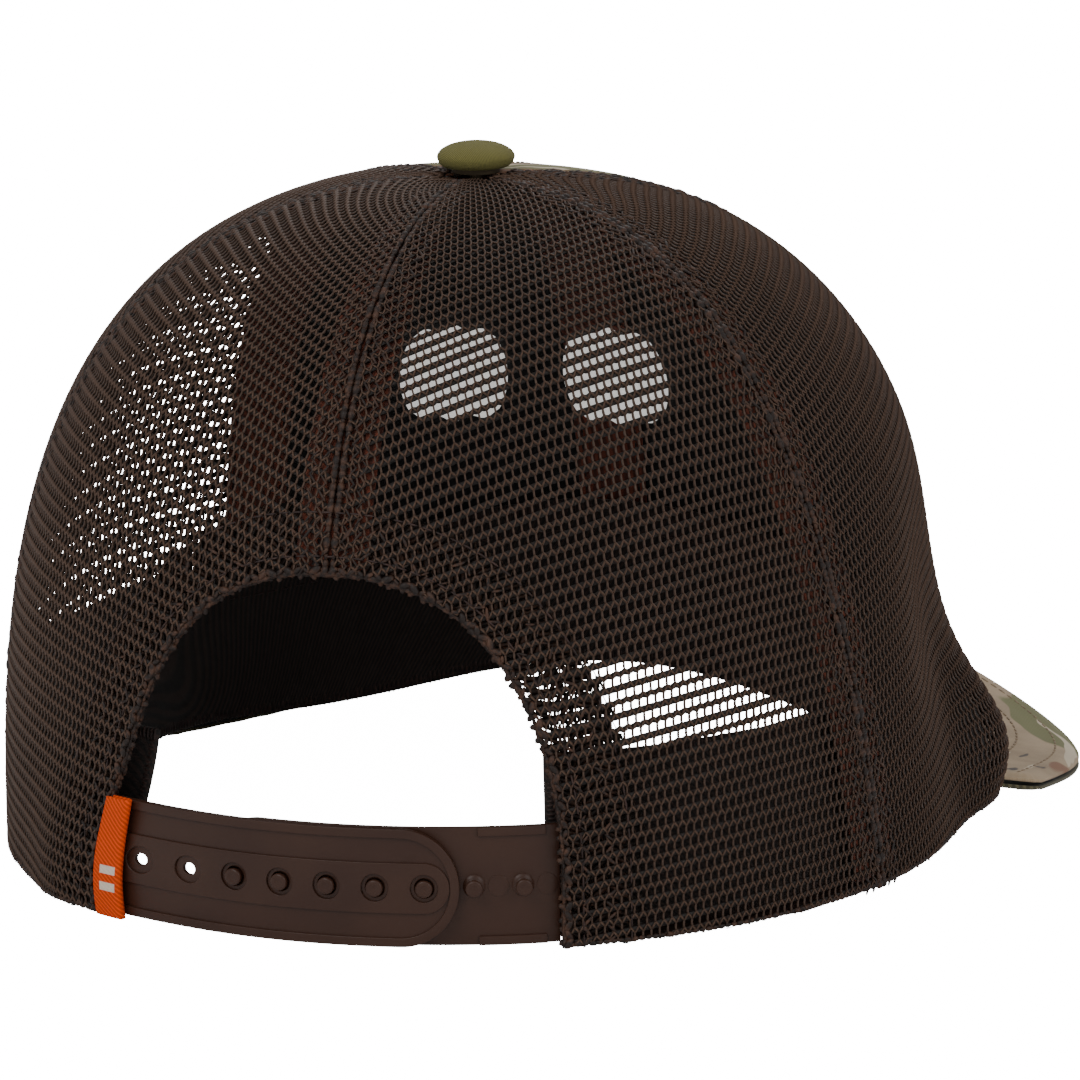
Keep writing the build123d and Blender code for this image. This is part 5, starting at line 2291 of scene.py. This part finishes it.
@dataclass
class Visor(SewnWork):
    """Visor of two cloth covers over a moulded board."""

    half_width: float = 95.0
    middle: float = 70.0
    reach: float = 89.0
    square: float = 2.5
    root_angle: float = 58.0
    air: float = 0.4
    cover: float = 0.7
    cloth: float = 0.66
    board: float = 2.0
    under_gap: float = 0.04
    rolls: tuple[float, float] = (0.75, -0.55)
    flat: tuple[float, float] = (0.19, 0.1)
    quilt: float = 0.06
    stitch: Stitch = Stitch(2.5, 0.5, 0.45, 0.06)
    stitch_rows: int = 6
    stitch_pitch: float = 3.0
    first_row: float = 4.5
    row_gap: float = 7.5
    rows_from: float = 52.0     # how far ahead of the cap's middle the rows may start
    foot_gap: float = 3.0

    def top(self, x: Array, ahead: Array) -> Array:
        """Height of the upper face."""
        run = ahead - 91.0
        return 13.2 - 0.0032 * x * x - 0.034 * run - 1.25e-5 * x * x * run + 1.3e-7 * x**4

    def edge(self, share: Array, inset: float = 0.0) -> Array:
        """Free edge in plan (x, ahead) from the wearer's left corner round to the right one.

        Args:
            share: share of its length, 0 to 1.
            inset: how far inside it the line runs.

        Returns:
            Points in plan.
        """
        turn = np.linspace(-0.12, math.pi + 0.12, 241)
        c, s = np.cos(turn), np.sin(turn)
        k = (np.abs(c / (self.half_width - inset)) ** self.square
             + np.abs(s / (self.reach - inset)) ** self.square) ** (-1 / self.square)
        line = np.stack([k * c, self.middle + k * s], -1)
        corners = self.root(np.array([0.0, 1.0]))
        line = np.concatenate([corners[:1], line, corners[1:]])
        walked = walk(line)
        return np.stack([np.interp(share * walked[-1], walked, line[:, i]) for i in range(2)], -1)

    def root(self, share: Array) -> Array:
        """Edge against the crown in plan, from the wearer's left.

        Args:
            share: share of its length, 0 to 1.

        Returns:
            Points in plan.
        """
        angle = np.radians(270 + self.root_angle - 2 * self.root_angle * share)
        spots = CROWN.point(angle, CROWN.rise_at(CROWN.hem(angle)), np.full(len(angle), -self.air))
        return np.stack([spots[:, 0], -spots[:, 1]], -1)

    def layer(self, name: str, near: float, roll: float) -> tuple[Mesh, float]:
        """One layer as a closed slab.

        Args:
            name: mesh name.
            near: depth of its upper face under the visor's top.
            roll: how far its edge rolls, + down.

        Returns:
            The mesh and its area in square metres.
        """
        share = np.linspace(0.006, 0.994, 141)
        root, free = self.root(share), self.edge(share)
        across = 1 - (1 - np.linspace(0, 1, 45)) ** 1.3
        plan = root[:, None] + (free - root)[:, None] * across[None, :, None]
        z = self.top(plan[..., 0], plan[..., 1])
        gap = np.linalg.norm((free - root), axis=1)[:, None] * (1 - across[None, :])
        bend = roll * np.exp(-(gap / 1.6) ** 2)
        quilt = self.quilt * np.cos(gap / self.row_gap * 2 * np.pi) * (gap > 2)
        upper = np.stack([plan[..., 0], -plan[..., 1], z - near - bend - quilt], -1)
        lower = upper - np.array([0, 0, self.cloth])
        maps = np.stack([(share[:, None] - 0.5) * 0.3 + 0 * gap, gap * MM], -1)
        return slab(name, upper, lower, maps, 0.3, slack=False), grid_area(upper)

    def build(self) -> None:
        """Builds the covers, their stitches and dresses the board."""
        under = self.cover + self.board
        for side, finish, slot, near, roll in (
                ("top", self.finishes.printed_twill, "printed_twill", 0.0, self.rolls[0]),
                ("under", self.finishes.under_twill, "under_twill", under + self.under_gap, self.rolls[1])):
            mesh, area = self.layer(f"visor_{side}_cover", near, roll)
            piece = keep_piece(f"visor_{side}_cloth", mesh, finish, "crown", [f"visor_{side}_cover"])
        dress("visor_board", self.finishes.visor_plastic)
        thread, rows = self.finishes.top_thread, []
        for i in range(self.stitch_rows):
            plan = self.edge(np.linspace(0.02, 0.98, 500), self.first_row + i * self.row_gap)
            turn = np.arctan2(-plan[:, 1], plan[:, 0])
            foot = CROWN.skin(turn, CROWN.rise_at(CROWN.hem(turn)))
            clear = np.hypot(plan[:, 0], plan[:, 1]) > np.hypot(foot[:, 0], foot[:, 1]) + self.foot_gap
            plan = plan[clear & (plan[:, 1] > self.rows_from)]
            z = self.top(plan[:, 0], plan[:, 1])
            for depth, lift in ((-0.02, 1.0), (under + self.cover + 0.02, -1.0)):
                line = np.stack([plan[:, 0], -plan[:, 1], z - depth], -1)
                out = np.tile([0.0, 0.0, lift], (len(line), 1))
                rows.append(self.row(line, self.stitch_pitch, out, thread, self.stitch, slack=False))
        self.keep_rows("visor_stitching", rows, thread, "printed_twill")


# ---- studio
@dataclass(frozen=True)
class Studio:
    """Camera, floor and soft light."""

    azimuth_deg: float = 198.0
    elevation_deg: float = 12.5
    roll_deg: float = -1.0
    distance: float = 1500.0
    lens: float = 262.2
    aim_right: float = 10.98
    aim_up: float = -0.42
    glow: float = 16.0          # strength at which the camera sees the floor as white
    middle: float = 55.0        # height that the camera turns about
    # name, place and size in metres, and power of each lamp
    lamps: tuple[tuple[str, tuple[float, float, float], float, float], ...] = (
        ("key", (0.5, 1.3, 1.3), 0.9, 11.0), ("side", (-1.4, 0.6, 0.9), 0.8, 6.0),
        ("front", (0.2, -1.3, 1.2), 1.0, 5.0))

    def camera(self) -> None:
        """Places the camera."""
        a, e, r = (math.radians(v) for v in (self.azimuth_deg, self.elevation_deg, self.roll_deg))
        back = Vector((math.sin(a) * math.cos(e), -math.cos(a) * math.cos(e), math.sin(e)))
        right = Vector((math.cos(a), math.sin(a), 0.0))
        up = back.cross(right)
        right_r = right * math.cos(r) + up * math.sin(r)
        eye = Vector((0, 0, self.middle)) + back * self.distance
        aim = Vector((0, 0, self.middle)) + right * self.aim_right + up * self.aim_up
        away = (eye - aim).normalized()
        side = (right_r - away * right_r.dot(away)).normalized()
        top = away.cross(side)
        turn = [Vector(CROWN.rest.turn(np.array(v))) for v in (side, top, away)]
        data = bpy.data.cameras.new("camera")
        data.lens, data.sensor_width, data.sensor_fit = self.lens, 36.0, "AUTO"
        data.clip_start, data.clip_end = 0.05, 30.0
        camera = stand("camera", data)
        matrix = Matrix((turn[0], turn[1], turn[2])).transposed().to_4x4()
        matrix.translation = Vector(CROWN.rest.place(np.array(eye)))
        camera.matrix_world = matrix
        bpy.context.scene.camera = camera

    def light(self) -> None:
        """Sets the sky and the lamps."""
        world = bpy.data.worlds.new("studio")
        world.use_nodes = True
        sky = world.node_tree.nodes["Background"]
        sky.inputs["Color"].default_value = (1.0, 1.0, 1.0, 1.0)
        sky.inputs["Strength"].default_value = 0.5
        bpy.context.scene.world = world
        for name, spot, size, power in self.lamps:
            data = bpy.data.lights.new(name, "AREA")
            data.size, data.energy = size, power
            lamp = stand(name, data)
            lamp.location = spot
            lamp.rotation_mode = "QUATERNION"
            lamp.rotation_quaternion = (Vector(spot) - Vector((0, 0, 0.06))).to_track_quat("Z", "Y")

    def floor(self) -> None:
        """Lays the pale floor."""
        mesh = bpy.data.meshes.new("floor")
        r = 6.0
        mesh.from_pydata([(-r, -r, 0), (r, -r, 0), (r, r, 0), (-r, r, 0)], [], [(0, 1, 2, 3)])
        s = Surface("floor_paper")
        tone = s.board.ramp(s.board.noise(s.place(), 3.0, 2.0), 0.2, 0.8, 0.93, 0.97)
        grey = s.board.add("ShaderNodeCombineXYZ", {i: tone for i in range(3)}).outputs[0]
        seen = s.board.add("ShaderNodeLightPath").outputs["Is Camera Ray"]
        s.set(Base_Color=grey, Roughness=0.9, Emission_Color=(1.0, 1.0, 1.0, 1.0),
              Emission_Strength=s.board.math("MULTIPLY", seen, self.glow))
        mesh.materials.append(s.material)
        stand("floor", mesh)


def main() -> None:
    """Builds the cap's pieces in order."""
    logging.basicConfig(level=logging.INFO, format="%(name)s %(message)s")
    studio = Studio()
    studio.camera()
    studio.light()
    studio.floor()
    finishes = Finishes.build()
    tool = RepeatTool()
    wrap = HemWrap()
    MeshPanels(tool, finishes).build()
    SeamFolds(tool, finishes).build()
    ArchFacing(tool, finishes).build()
    FrontPanels(tool, finishes).build()
    SeamTapes(tool, finishes).build()
    SweatBand(tool, finishes).build()
    SnapClosure(finishes, wrap).build()
    FlagLabel(finishes, wrap).build()
    TopButton(finishes).build()
    Visor(tool, finishes).build()
    log.info("boxes written")


if __name__ == "__main__":
    main()
